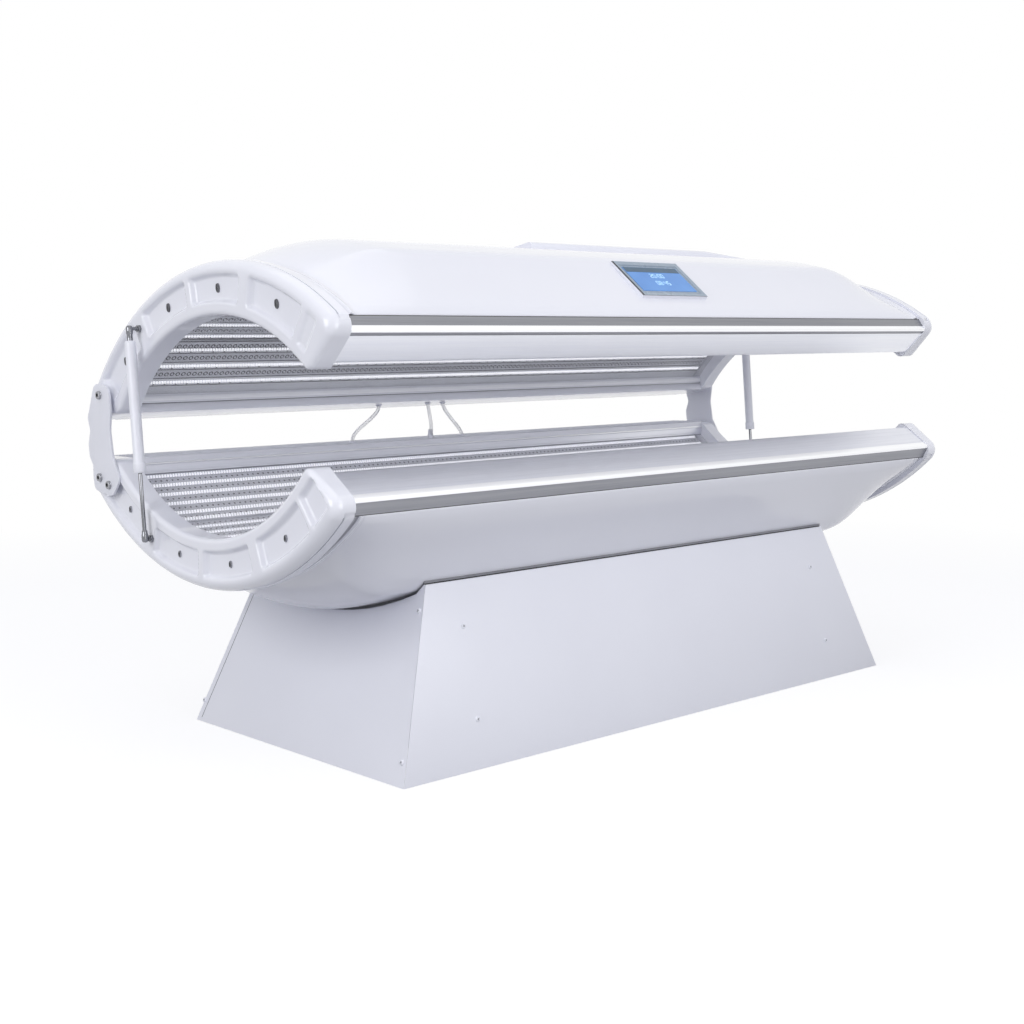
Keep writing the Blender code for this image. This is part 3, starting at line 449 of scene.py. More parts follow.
# bright brushed metal for painted highlights on the rails
highlightSilver = brushed("highlightSilver", (0.97, 0.975, 0.99), (0.92, 0.925, 0.95), 0.28, 0.4)
# darker brushed metal for painted shade and painted dark reflection on the rails
brushedShadeGrey = brushed("brushedShadeGrey", (0.31, 0.315, 0.34), (0.26, 0.265, 0.29), 0.3, 0.45)
# one aluminium in a shaded copy for the bed's rails and a lit copy for the canopy's: painted shade and painted
# light
bedRail = brushed("bedRail", (0.8, 0.81, 0.87), (0.73, 0.74, 0.8), 0.36, 0.48)
canopyRail = brushed("canopyRail", (0.96, 0.97, 1.0), (0.9, 0.91, 0.96), 0.34, 0.46, metallic=0.7)
# rear rail colours: a darker band colour and a lighter rail colour are painted shade and painted light across the
# rail, and the pale matte flange top is painted light
rearBandShade = brushed("rearBandShade", (0.8, 0.81, 0.87), (0.73, 0.74, 0.8), 0.36, 0.5, metallic=0.4)
rearRail = brushed("rearRail", (0.95, 0.96, 1.0), (0.9, 0.91, 0.96), 0.36, 0.5, metallic=0.1)
railTopLit = skin("railTopLit", (0.86, 0.87, 0.92), (0.8, 0.81, 0.87), 0.6, 0.75, cloud=30.0, shine=0.1)
boardDark = brushed("boardDark", (0.06, 0.06, 0.07), (0.04, 0.04, 0.048), 0.4, 0.55, metallic=0.3)
barLight = brushed("barLight", (0.95, 0.955, 0.99), (0.86, 0.865, 0.91), 0.32, 0.46, metallic=0.2)
barGrey = brushed("barGrey", (0.76, 0.765, 0.82), (0.66, 0.665, 0.72), 0.34, 0.5, metallic=0.2)
barSilver = brushed("barSilver", (0.8, 0.81, 0.87), (0.7, 0.71, 0.77), 0.3, 0.45, metallic=0.4)
ringGrey = brushed("ringGrey", (0.8, 0.805, 0.86), (0.7, 0.705, 0.76), 0.3, 0.5, metallic=0.2)
# chrome in a darkened colour: painted dark reflection
chromeDarkReflection = flatSkin("chromeDarkReflection", (0.24, 0.245, 0.265), (0.2, 0.205, 0.225), 0.08, 0.16, cloud=6.0, metallic=1.0)
zinc = flatSkin("zinc", (0.38, 0.385, 0.41), (0.28, 0.285, 0.31), 0.22, 0.38, cloud=300.0, metallic=1.0)
# dark grey for the screw heads, the canopy's screw cups and the bezel's chamfer: painted shade in the holes and
# along the rim
cupShadeDark = skin("cupShadeDark", (0.14, 0.142, 0.155), (0.1, 0.102, 0.115), 0.3, 0.5, cloud=60.0)
chipWhite = flatSkin("chipWhite", (0.95, 0.955, 0.98), (0.88, 0.885, 0.93), 0.2, 0.35, cloud=90.0, glow=0.75)
chipPale = flatSkin("chipPale", (0.9, 0.905, 0.94), (0.82, 0.825, 0.88), 0.2, 0.35, cloud=90.0, glow=0.6)
# near black: painted shade in slots and sockets and round the canopy's lamp domes, and the dark dots on the LED
# bars
shadeAndDotBlack = flatSkin("shadeAndDotBlack", (0.03, 0.03, 0.035), (0.015, 0.015, 0.02), 0.4, 0.7, cloud=200.0)
darkPlastic = skin("darkPlastic", (0.045, 0.045, 0.05), (0.03, 0.03, 0.034), 0.4, 0.6, peel=700.0, bump=0.0004)
# black for painted shadow: the rail's seam gap, the strut's bore, the bezel's left edge line and the base strip's
# dark line
shadowBlack = skin("shadowBlack", (0.02, 0.02, 0.022), (0.012, 0.012, 0.014), 0.5, 0.7)
bezelGrey = skin("bezelGrey", (0.33, 0.4, 0.48), (0.3, 0.37, 0.45), 0.25, 0.36, cloud=30.0)
screenBlue = flatSkin("screenBlue", (0.05, 0.2, 0.55), (0.09, 0.28, 0.66), 0.05, 0.12, cloud=9.0, glow=0.2)
screenHead = flatSkin("screenHead", (0.01, 0.06, 0.12), (0.02, 0.09, 0.17), 0.05, 0.12, cloud=20.0, glow=0.15)
screenLight = flatSkin("screenLight", (0.5, 0.78, 0.95), (0.42, 0.7, 0.92), 0.1, 0.2, cloud=50.0, glow=0.4)
circuitGreen = skin("circuitGreen", (0.03, 0.16, 0.08), (0.02, 0.11, 0.06), 0.3, 0.5, cloud=80.0)
cableWhite = skin("cableWhite", (0.97, 0.972, 0.985), (0.94, 0.942, 0.965), 0.25, 0.4, cloud=60.0, clear=0.75)


def makeAcrylic():  # clear sheet, whiter and glossier at a grazing angle
    made, tree, shader = newMaterial("clearAcrylic")
    values = {"Colour": (0.93, 0.94, 0.97), "Shade": (0.9, 0.91, 0.95), "Smooth": 0.03, "Rough": 0.09}
    addEffect(tree, shader, sprayedSkin, values)
    facing = addNode(tree, "ShaderNodeLayerWeight", Blend=0.25)
    tree.links.new(stretch(tree, 0.0, 1.0, facing.outputs["Facing"], 0.03, 0.3), shader.inputs["Alpha"])
    made.surface_render_method = "BLENDED"
    return made


clearAcrylic = makeAcrylic()
print("materials made")


# Cables across the rear gap

cables = {
    "radius": 0.0042,
    "setback": 0.042,
    "stiffShare": 0.35,
    "routes": [  # foot x, head x, sag, height of the foot's gland
        (-0.315, -0.24, 0.012, 0.0036), (-0.075, -0.088, -0.01, 0.0198), (0.03, -0.04, 0.014, 0.0036),
    ],
    "steps": 24,
    "glandRadius": 0.0072,
    "headGland": 0.0036,
}


def cablePath(footX, headX, sag):
    y = rearWall + cables["setback"]
    start = Vector((footX, y, rearEdge + fit))
    down = Vector((0, -math.sin(openTurn), -math.cos(openTurn)))
    top = halves["canopy"]["place"] @ Vector((headX, y, rearEdge))
    finish = top + down * fit
    lift = (finish.z - start.z) * cables["stiffShare"]
    low = start + Vector((0, sag, lift))
    high = finish + down * lift
    path = []
    for t in spread(0, 1, cables["steps"]):
        s = 1 - t
        path.append(s ** 3 * start + 3 * s * s * t * low + 3 * s * t * t * high + t ** 3 * finish)
    return path


def makeGland(name, body, place, height):
    radius = cables["glandRadius"]
    bore = cables["radius"] + fit
    profile = [
        (bore, 0), (radius, 0), (radius, height * 0.35), (radius * 0.86, height * 0.4),
        (radius * 0.8, height * 0.85), (radius * 0.7, height), (bore, height), (bore, 0),
    ]
    shape = turnedShape(profile, 20)
    putPiece(name, shape, [plateWhite], body, place=place)


def makeCables():
    for number, (footX, headX, sag, gland) in enumerate(cables["routes"], 1):
        path = cablePath(footX, headX, sag)
        curve = bpy.data.curves.new("cableLine", "CURVE")
        curve.dimensions = "3D"
        curve.bevel_depth = cables["radius"]
        curve.bevel_resolution = 4
        curve.use_fill_caps = True
        line = curve.splines.new("POLY")
        line.points.add(len(path) - 1)
        for point, knot in zip(line.points, path):
            point.co = (*knot, 1)
        holder = bpy.data.objects.new("cableLine", curve)
        scene.collection.objects.link(holder)
        graph = bpy.context.evaluated_depsgraph_get()
        mesh = bpy.data.meshes.new_from_object(holder.evaluated_get(graph))
        bpy.data.objects.remove(holder, do_unlink=True)
        mesh.name = f"cable{number}"
        mesh.shade_smooth()
        mesh.set_sharp_from_angle(angle=math.radians(50))
        mesh.materials.clear()
        mesh.materials.append(cableWhite)
        cable = bpy.data.objects.new(f"cable{number}", mesh)
        scene.collection.objects.link(cable)
        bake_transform(cable)
        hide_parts(f"canopy_cable_{number}")
        makeGland(f"cableFoot{number}", "bed", Matrix.Translation(path[0]), gland)
        flip = Matrix.Translation(path[-1]) @ Matrix.Rotation(math.pi - openTurn, 4, "X")
        makeGland(f"cableHead{number}", "canopy", flip, cables["headGland"])


makeCables()
print("cables made")


# End caps: a grid laid between the outer rim and the lip, with pockets pressed into its face

cap = {
    "outerRim": 0.024,  # rounding of the outer edge
    "innerRim": 0.01,
    "cornerRear": 0.018,
    "cornerNose": 0.034,
    "cornerRidge": 0.016,
    "railInset": 0.002,
    "pocketAngles": (31.0, 9.8, -9.2, -29.6),
    "pocketSpan": 17.6,
    "tip": {"bed": (-42.4, 6.6, 0.011), "canopy": (-41.5, 4.0, 0.004)},  # last pocket: angle, span, depth
    "outerBand": 0.023,
    "innerBand": 0.021,
    "pocketDepth": 0.0115,
    "pocketCorner": 0.009,
    "pocketWall": 0.0095,
    "columns": 300,
    "rows": 46,
    "rowSpan": 0.1,  # width that the rows are spread over
    "samples": 40,  # steps that measure the length of the cap
    "lineReach": 0.004,  # the dark line is only cut this near the outer circle
    "line": [(0.0006, 0.0022), (0.003, 0.0022), (0.0036, 0.0)],  # dark line, a groove painted grey as its shade: place behind the rim, depth
}


def lineMeetsCircle(start, direction, centre, radius, far):
    offset = start - centre
    along = offset.dot(direction)
    root = math.sqrt(along ** 2 - offset.length_squared + radius ** 2)
    return start + direction * (-along + (root if far else -root))


def polar(centre, radius, turn):
    return centre + radius * Vector((math.sin(turn), -math.cos(turn)))


def turnOf(centre, point):
    return math.atan2(point.x - centre.x, centre.y - point.y)


def capLimits():  # where the outer rim and the lip start, at the back, and end, at the nose
    lift = Vector((-slant.y, slant.x)) * cap["railInset"]
    ridge = lineMeetsCircle(railNose + lift, slant, lipCentre, section["lipRadius"], False)
    nose = lineMeetsCircle(railNose + lift, slant, capCentre, section["capRadius"], False)
    rearReach = math.sqrt(section["lipRadius"] ** 2 - (lipCentre.y - rearEdge) ** 2)
    lipRear = Vector((lipCentre.x + rearReach, rearEdge))
    return {
        "outer": (backTurn, turnOf(capCentre, nose)),
        "inner": (turnOf(lipCentre, lipRear), turnOf(lipCentre, ridge)),
    }


def capPoint(limits, u, v):  # u from the back to the nose, v from the outer rim to the lip
    outerFrom, outerTo = limits["outer"]
    innerFrom, innerTo = limits["inner"]
    arc = section["capRadius"] * abs(outerTo - outerFrom)
    wallShare = section["backWall"] / (section["backWall"] + arc)
    if u < wallShare:
        outer = Vector((halfWidth, rearEdge - section["backWall"] * u / wallShare))
    else:
        t = (u - wallShare) / (1 - wallShare)
        outer = polar(capCentre, section["capRadius"], outerFrom + t * (outerTo - outerFrom))
    inner = polar(lipCentre, section["lipRadius"], innerFrom + u * (innerTo - innerFrom))
    return outer.lerp(inner, v)


def pocketDip(halfName, point):
    turn = math.degrees(turnOf(capCentre, point))
    radius = (point - capCentre).length
    rimGap = section["capRadius"] - cap["outerBand"] - radius
    lipGap = (point - lipCentre).length - section["lipRadius"] - cap["innerBand"]
    inward = min(rimGap, lipGap)
    dip = 0.0
    pockets = [(angle, cap["pocketSpan"], cap["pocketDepth"]) for angle in cap["pocketAngles"]]
    for angle, span, deep in pockets + [cap["tip"][halfName]]:
        sideways = math.radians(span / 2 - abs(turn - angle)) * radius
        corner = cap["pocketCorner"]
        across = corner - sideways
        updown = corner - inward
        gap = math.hypot(max(across, 0), max(updown, 0)) + min(max(across, updown), 0) - corner
        dip = max(dip, deep * smoothStep(-gap / cap["pocketWall"]))
    return dip


def capStops(count, length, rimStart, rimEnd):  # closer together over both rounded rims
    steps = 8
    head = [rimStart * (1 - math.cos(math.pi / 2 * i / steps)) / length for i in range(steps)]
    tail = [1 - rimEnd * (1 - math.cos(math.pi / 2 * i / steps)) / length for i in range(steps)]
    middle = spread(rimStart / length, 1 - rimEnd / length, count - 2 * steps)
    return head + middle + tail[::-1]


def growRim(shape, edges):  # extrudes an open rim and gives its new edges, points and faces
    grown = bmesh.ops.extrude_edge_only(shape, edges=edges)["geom"]
    fresh = [part for part in grown if isinstance(part, bmesh.types.BMEdge)]
    points = [part for part in grown if isinstance(part, bmesh.types.BMVert)]
    faces = [part for part in grown if isinstance(part, bmesh.types.BMFace)]
    return fresh, points, faces


def makeCapShape(halfName, side):
    half = halves[halfName]
    limits = capLimits()
    marks = spread(0, 1, cap["samples"])
    long = 0.5 * sum(
        (capPoint(limits, b, v) - capPoint(limits, a, v)).length
        for a, b in zip(marks, marks[1:]) for v in (0, 1)
    )
    columns = capStops(cap["columns"], long, cap["outerRim"], cap["outerRim"])
    rows = capStops(cap["rows"], cap["rowSpan"], cap["outerRim"], cap["innerRim"])
    shape = bmesh.new()
    bmesh.ops.create_grid(shape, x_segments=len(columns) - 1, y_segments=len(rows) - 1, size=0.5)
    for vert in shape.verts:
        u = columns[round((vert.co.x + 0.5) * (len(columns) - 1))]
        v = rows[round((vert.co.y + 0.5) * (len(rows) - 1))]
        wide = (capPoint(limits, u, 0) - capPoint(limits, u, 1)).length
        fromEnd = min(u, 1 - u) * long
        fromEdge = min(v, 1 - v) * wide
        if u < 0.5:
            corner = cap["cornerRear"]
        else:
            corner = cap["cornerNose"] if v < 0.5 else cap["cornerRidge"]
        a = 1 - fromEnd / corner
        b = 1 - fromEdge / corner
        if a > 0 and b > 0:  # square corner drawn in to a round one
            fromEnd = corner * (1 - a * math.sqrt(1 - b * b / 2))
            fromEdge = corner * (1 - b * math.sqrt(1 - a * a / 2))
            u = fromEnd / long if u < 0.5 else 1 - fromEnd / long
            v = fromEdge / wide if v < 0.5 else 1 - fromEdge / wide
        inX = corner - fromEnd
        inY = corner - fromEdge
        depth = corner - math.hypot(max(inX, 0), max(inY, 0)) - min(max(inX, inY), 0)
        rim = cap["outerRim"] + (cap["innerRim"] - cap["outerRim"]) * v
        short = max(rim - depth, 0)
        drop = rim - math.sqrt(max(rim ** 2 - short ** 2, 0))
        point = capPoint(limits, u, v)
        vert.co = (half["face"] - drop - pocketDip(halfName, point), point.x, point.y)
    edges = [edge for edge in shape.edges if edge.is_boundary]
    lastBack, lastDeep = 0.0, 0.0
    for back, deep in cap["line"]:
        edges, rim, faces = growRim(shape, edges)
        for vert in rim:
            inward = capCentre - Vector((vert.co.y, vert.co.z))
            vert.co.x -= back - lastBack
            if inward.length > section["capRadius"] - cap["lineReach"]:
                inward *= (deep - lastDeep) / inward.length
                vert.co.y += inward.x
                vert.co.z += inward.y
        # faces on the floor of the groove behind the rim are painted grey as its shade
        for face in faces:
            middle = face.calc_center_median()
            gap = section["capRadius"] - (Vector((middle.y, middle.z)) - capCentre).length
            face.material_index = 1 if deep == lastDeep and deep / 2 < gap < deep * 1.5 else 0
        lastBack, lastDeep = back, deep
    edges, rim, faces = growRim(shape, edges)
    for vert in rim:
        vert.co.x = half["inner"]
    for face in faces:
        face.material_index = 0
    bmesh.ops.contextual_create(shape, geom=edges)
    bmesh.ops.recalc_face_normals(shape, faces=shape.faces)
    if side < 0:
        bmesh.ops.scale(shape, vec=(-1, 1, 1), verts=shape.verts)
        bmesh.ops.reverse_faces(shape, faces=shape.faces)
    return shape


def makeCaps():
    for halfName, half in halves.items():
        for end, side in ends.items():
            shape = makeCapShape(halfName, side)
            putPiece(
                f"{halfName}Cap{end.title()}", shape, [capWhite, grooveShadeGrey], halfName,
                [f"{halfName}_end_cap_{end}"], half["place"], sharp=60,
            )


makeCaps()
print("end caps made")


# Fixings in the cap pockets

capScrew = {
    "cupRadius": {"canopy": 0.0078, "bed": 0.006},
    "cupHeight": 0.003,
    "headRadius": 0.0042,
    "oval": (1.15, 0.68),  # stretch upright and across
    "slotTurn": 0.4,
}


def makeCapScrews():
    for halfName, half in halves.items():
        radius = capScrew["cupRadius"][halfName]
        tall = capScrew["cupHeight"]
        head = capScrew["headRadius"]
        cup = [
            (radius, 0), (radius, tall * 0.5), (radius * 0.94, tall), (radius * 0.82, tall),
            (head * 1.25, tall * 0.35), (0, tall * 0.3),
        ]
        oval = Matrix.Diagonal((*capScrew["oval"], 1, 1))
        dome = [(head, tall * 0.3), (head * 0.96, tall * 0.62), (head * 0.6, tall * 0.86), (0, tall * 0.92)]
        for end, side in ends.items():
            shape = bmesh.new()
            for angle in cap["pocketAngles"]:
                turn = math.radians(angle)
                outer = polar(capCentre, section["capRadius"] - cap["outerBand"], turn)
                outward = (outer - capCentre).normalized()
                inner = lineMeetsCircle(
                    capCentre, outward, lipCentre, section["lipRadius"] + cap["innerBand"], True
                )
                middle = (outer + inner) / 2
                place = shift(side * (half["face"] - cap["pocketDepth"]), middle.x, middle.y)
                place = place @ Matrix.Rotation(side * math.pi / 2, 4, "Y") @ oval
                addTo(shape, turnedShape(cup, 24), place, 0)
                addTo(shape, turnedShape(dome, 16), place, 1)
                for quarter in (0, 1):
                    slot = block((head * 1.3, head * 0.24, tall * 0.1), shift(0, 0, tall * 0.9))
                    turned = Matrix.Rotation(quarter * math.pi / 2 + capScrew["slotTurn"], 4, "Z")
                    addTo(shape, slot, place @ turned, 2)
            # screw heads, and on the canopy the cups too, are painted dark and the slots near black, as the shade
            # in their holes
            paints = [cupShadeDark, cupShadeDark, shadeAndDotBlack] if halfName == "canopy" else [zinc, cupShadeDark, shadeAndDotBlack]
            putPiece(f"{halfName}CapScrews{end.title()}", shape, paints, halfName, place=half["place"])


makeCapScrews()
print("cap screws made")


# Shells

shell = {
    "ramp": 0.18,
    "wall": 0.004,
    "creaseSoft": 0.008,
    "lipStrip": 0.017,
    "backRound": 0.012,
    "lipRound": 0.002,
    "roll": 0.0045,
    "rollWidth": 0.016,
    "rollFade": 0.05,  # the roll grows over this distance from the end
    "collarFade": 0.03,  # the collar dies out over this distance from the back
    "creaseBand": 0.02,  # half the width that the finer rows at a crease take
    "extraStations": [0.003, 0.013, 0.016],
    "rampEase": 1.6,
    "groove": (0.0095, 0.0205),  # stretch of the bed's collar groove painted grey, as painted shade in the groove
    "collar": {  # distance from the end, step out of the skin
        "bed": [
            (0.0, -0.003), (0.0095, -0.003), (0.0105, -0.0048), (0.0195, -0.0048), (0.0205, -0.002),
            (0.0222, 0.0006), (0.0245, 0.0014), (0.0272, 0.001), (0.0292, -0.0006), (0.031, -0.001),
            (0.033, -0.0004), (0.036, 0.0),
        ],
        "canopy": [
            (0.0, 0.0), (0.004, 0.0008), (0.0075, 0.003), (0.011, 0.0044), (0.0145, 0.0042), (0.018, 0.0028),
            (0.0215, 0.0012), (0.026, 0.0002), (0.036, 0.0),
        ],
    },
}


def softMax(a, b, width):
    mix = min(max(0.5 + 0.5 * (a - b) / width, 0), 1)
    return b + (a - b) * mix + width * mix * (1 - mix)


def shellHeight(half, y, share):
    turn = half["creaseY"]
    endZ = capCentre.y - math.sqrt(endRadius ** 2 - y ** 2)
    creaseZ = capCentre.y - math.sqrt(half["midRadius"] ** 2 - turn ** 2)
    backZ = capCentre.y - math.sqrt(endRadius ** 2 - backY ** 2)
    front = creaseZ + (y + turn) / (foot.x + turn) * (foot.y - creaseZ)
    back = creaseZ + (y - turn) / (backY - turn) * (backZ - creaseZ)
    belly = capCentre.y - math.sqrt(half["midRadius"] ** 2 - y ** 2)
    midZ = softMax(softMax(belly, front, shell["creaseSoft"]), back, shell["creaseSoft"])
    return endZ + share * (midZ - endZ)


def shellStops(half):
    soft = shell["creaseBand"]
    turn = half["creaseY"]
    roll = foot.x + shell["rollWidth"]
    stops = spread(foot.x, roll, 7)[:-1] + spread(roll, -turn - soft, 8)[:-1]
    stops += spread(-turn - soft, -turn + soft, 10)[:-1] + spread(-turn + soft, turn - soft, 26)[:-1]
    return stops + spread(turn - soft, turn + soft, 10)[:-1] + spread(turn + soft, backY, 8)


def rollStep(y):  # the skin turns in to the front rail
    t = (y - foot.x) / shell["rollWidth"]
    if t < 1:
        return shell["roll"] * (1 - (1 - t) ** 2)
    return shell["roll"] * (1 - smoothStep((t - 1) / 4))


def shellStations(reach, collar):
    near = [place for place, step in collar] + shell["extraStations"]
    start = collar[-1][0]
    near += [start + shell["ramp"] * share ** shell["rampEase"] for share in spread(0, 1, 20)[1:]]
    near = [x - reach for x in sorted(near)]
    middle = spread(near[-1], -near[-1], 16)[1:-1]
    return near + middle + [-x for x in reversed(near)]


def makeShell(halfName):
    half = halves[halfName]
    reach = half["inner"] - fit
    collar = shell["collar"][halfName]
    stations = shellStations(reach, collar)
    stops = shellStops(half)
    lastStops = [(backY, rearEdge)]
    if halfName == "canopy":
        lastStops += [(rearWall, rearEdge), (rearWall, rearEdge - shell["lipStrip"])]
    count = len(stops) + len(lastStops)
    shape = bmesh.new()
    bmesh.ops.create_grid(shape, x_segments=len(stations) - 1, y_segments=count - 1, size=0.5)
    rowOf = {}
    for vert in shape.verts:
        x = stations[round((vert.co.x + 0.5) * (len(stations) - 1))]
        row = round((vert.co.y + 0.5) * (count - 1))
        fromEnd = reach - abs(x)
        ramp = min(max(fromEnd - collar[-1][0], 0) / shell["ramp"], 1)
        share = 1 - (1 - ramp) ** 2
        step = between(fromEnd, collar)
        rowOf[vert] = row
        if row < len(stops):
            y = stops[row]
            point = Vector((y, shellHeight(half, y, share)))
            step *= min((backY - y) / shell["collarFade"], 1)
            step += rollStep(y) * min(fromEnd / shell["rollFade"], 1)
            point += (point - capCentre).normalized() * step
        else:
            point = Vector(lastStops[row - len(stops)])
        vert.co = (x, point.x, point.y)
    # faces in the bed's collar groove are painted grey as the shade in the groove
    for face in shape.faces:
        inGroove = shell["groove"][0] < reach - abs(face.calc_center_median().x) < shell["groove"][1]
        skinRow = max(rowOf[vert] for vert in face.verts) < len(stops)
        face.material_index = 1 if inGroove and skinRow and halfName == "bed" else 0
    for row in range(len(stops) - 1, count - 1):  # the edges where the skin turns at the back
        chain = [edge for edge in shape.edges if all(rowOf.get(vert) == row for vert in edge.verts)]
        roundOff(shape, chain, shell["backRound"] if row == len(stops) - 1 else shell["lipRound"], 5)
        rowOf = {vert: mark for vert, mark in rowOf.items() if vert.is_valid}
    faceWay(shape, True)
    thing = putPiece(
        f"{halfName}Shell", shape, [glossWhite, collarShadeGrey], halfName, [f"{halfName}_shell"],
        half["place"], sharp=35,
    )
    thicken(thing, "wall", shell["wall"])


for halfName in halves:
    makeShell(halfName)
print("shells made")


# Aluminium rails along the front and the back of each half

rail = {
    "noseRound": {"bed": 0.006, "canopy": 0.0054},
    "ridgeRound": 0.016,
    "seam": 0.0016,  # dark line beside the shell, painted shadow in the gap
    "strip": {"bed": 0.0275, "canopy": 0.0225},  # width of the dark strip, a painted dark reflection, from the shell
    "nose": {"bed": 0.0155, "canopy": 0.0056},  # how far the bright band, a painted highlight, runs up the broad face
    "leg": 0.016,
    "seat": 0.006,
    "line": (0.0056, 0.0078, 0.0008),  # place from the nose, width and depth of the canopy's thin groove, painted grey as shade
    "rearSteps": {  # share of the height, step back from the inner wall
        "bed": [
            (0.0, 0.001), (0.05, 0.001), (0.06, 0.0), (0.15, 0.0), (0.155, 0.0014), (0.175, 0.0014),
            (0.18, 0.0), (0.54, 0.0), (0.55, 0.0012), (0.575, 0.0012), (0.585, -0.001), (0.6, -0.0016),
            (0.655, -0.0016), (0.67, -0.001), (0.68, 0.0008), (1.0, 0.0008),
        ],
        "canopy": [
            (0.0, 0.0), (0.22, 0.0), (0.3, -0.001), (0.62, -0.001), (0.7, 0.0), (0.91, 0.0),
            (0.92, 0.0012), (1.0, 0.0012),
        ],
    },
    "rearBands": {  # from, to, paint: 1 grey, 2 bright, 3 dark; bands of painted shade and painted highlight
        "bed": [(0.0, 0.055, 3), (0.15, 0.18, 1), (0.54, 0.58, 1), (0.58, 0.68, 2), (0.68, 1.0, 1)],
        "canopy": [(0.0, 0.22, 1), (0.7, 0.915, 1), (0.915, 1.0, 3)],
    },
    "rearLeg": 0.05,
    "rearFlange": 0.02,
    "flangeGroove": [(0.03, 0.0), (0.031, 0.0014), (0.034, 0.0014), (0.035, 0.0)],  # from the wall, depth
    "flangeRound": 0.002,
    "flangeSkin": 0.0016,  # faces this near the flange's top take its paint, painted light
    "bandSkin": 0.003,  # and these, near the inner wall, the paint of their band
    "paintRise": 0.05,  # the front rail's inside starts this far above its nose
}


def frontRailCorners(halfName):
    inward = Vector((math.sqrt(0.5), math.sqrt(0.5)))
    seat = foot + fit * Vector((-inward.x, inward.y))
    ridge = railNose + slant * ((frontWall - railNose.x) / slant.x)
    into = Vector((slant.y, -slant.x))
    place, wide, deep = rail["line"]
    lineStart = railNose + slant * place
    lineEnd = railNose + slant * (place + wide)
    rise = (railNose - seat).normalized()
    corners = [
        (*seat, 0),
        (*(seat + rise * rail["seam"]), 0),
        (*(seat + rise * rail["strip"][halfName]), 0),
        (*railNose, rail["noseRound"][halfName]),
    ]
    if halfName == "canopy":
        groove = (lineStart, lineStart + into * deep, lineEnd + into * deep, lineEnd)
        corners += [(*point, 0) for point in groove]
    else:
        corners += [(*(railNose + slant * rail["nose"][halfName]), 0)]
    corners += [
        (*ridge, rail["ridgeRound"]),
        (frontWall, railBottom, 0),
        (foot.x + rail["leg"], railBottom, 0),
        (*(seat + inward * rail["seat"]), 0),
    ]
    return corners


def paintFrontRail(shape, halfName):
    rise = (railNose - foot).normalized()
    for face in shape.faces:
        face.normal_update()
        middle = face.calc_center_median()
        point = Vector((middle.y, middle.z))
        fromFoot = (point - foot).dot(rise)
        fromNose = (point - railNose).dot(slant)
        face.material_index = 0
        if abs(face.normal.x) > 0.5 or point.y > railNose.y + rail["paintRise"] or face.normal.z < -0.9:
            continue
        outside = point.x < foot.x + 0.001
        # a black line of painted shadow in the gap beside the shell
        if outside and fromFoot < rail["seam"]:
            face.material_index = 3
        # a dark strip of painted reflection
        elif outside and fromFoot < rail["strip"][halfName]:
            face.material_index = 1
        # a bright band of painted highlight on the nose
        elif fromNose < rail["nose"][halfName]:
            face.material_index = 2
        # the canopy's thin groove painted grey as the shade below the nose
        elif halfName == "canopy" and fromNose < sum(rail["line"][:2]) + 0.0002:
            face.material_index = 1


def rearRailCorners(halfName):
    leg = rearWall + rail["rearLeg"]
    top = rearRailTop(halfName)
    tall = top - railBottom
    inside = [(rearWall + step, railBottom + tall * share, 0) for share, step in rail["rearSteps"][halfName]]
    if halfName == "canopy":
        return inside + [(leg, top, 0), (leg, railBottom, 0)]
    back = backY - shell["wall"] - fit
    under = rearEdge - rail["rearFlange"]
    flange = [(rearWall + place, rearEdge - deep, 0) for place, deep in rail["flangeGroove"]]
    flange += [(back, rearEdge, rail["flangeRound"]), (back, under, 0)]
    return inside + flange + [(leg, under, 0), (leg, railBottom, 0)]


def rearRailTop(halfName):
    return rearEdge if halfName == "bed" else rearEdge - shell["lipStrip"] - fit


def paintRearRail(shape, halfName):
    tall = rearRailTop(halfName) - railBottom
    for face in shape.faces:
        middle = face.calc_center_median()
        share = (middle.z - railBottom) / tall
        face.material_index = 0
        # bands of painted shade and painted highlight across the inner wall, and painted light on the bed
        # flange's top
        if middle.y < rearWall + rail["bandSkin"]:
            for low, high, paint in rail["rearBands"][halfName]:
                if low < share < high:
                    face.material_index = paint
        elif halfName == "bed" and middle.z > rearEdge - rail["flangeSkin"]:
            face.material_index = 4


def makeRails():
    for halfName, half in halves.items():
        reach = half["inner"] - fit
        front = sweepBar(frontRailCorners(halfName), -reach, reach)
        paintFrontRail(front, halfName)
        rear = sweepBar(rearRailCorners(halfName), -reach, reach)
        paintRearRail(rear, halfName)
        frontPaints = [canopyRail, brushedShadeGrey, highlightSilver, shadowBlack]
        rearPaints = [rearRail, rearBandShade, highlightSilver, brushedShadeGrey, railTopLit]
        for name, shape, paints in (("front", front, frontPaints), ("rear", rear, rearPaints)):
            # the bed's rails take the shaded copy of the rail colour
            if halfName == "bed":
                paints[0] = bedRail
            putPiece(
                f"{halfName}{name.title()}Rail", shape, paints, halfName,
                [f"{halfName}_{name}_rail"], half["place"],
            )


makeRails()
print("rails made")


# Acrylic sheets

def sheetLimit(radius):
    return math.acos((acrylicCentre.y - railBottom + fit) / radius)


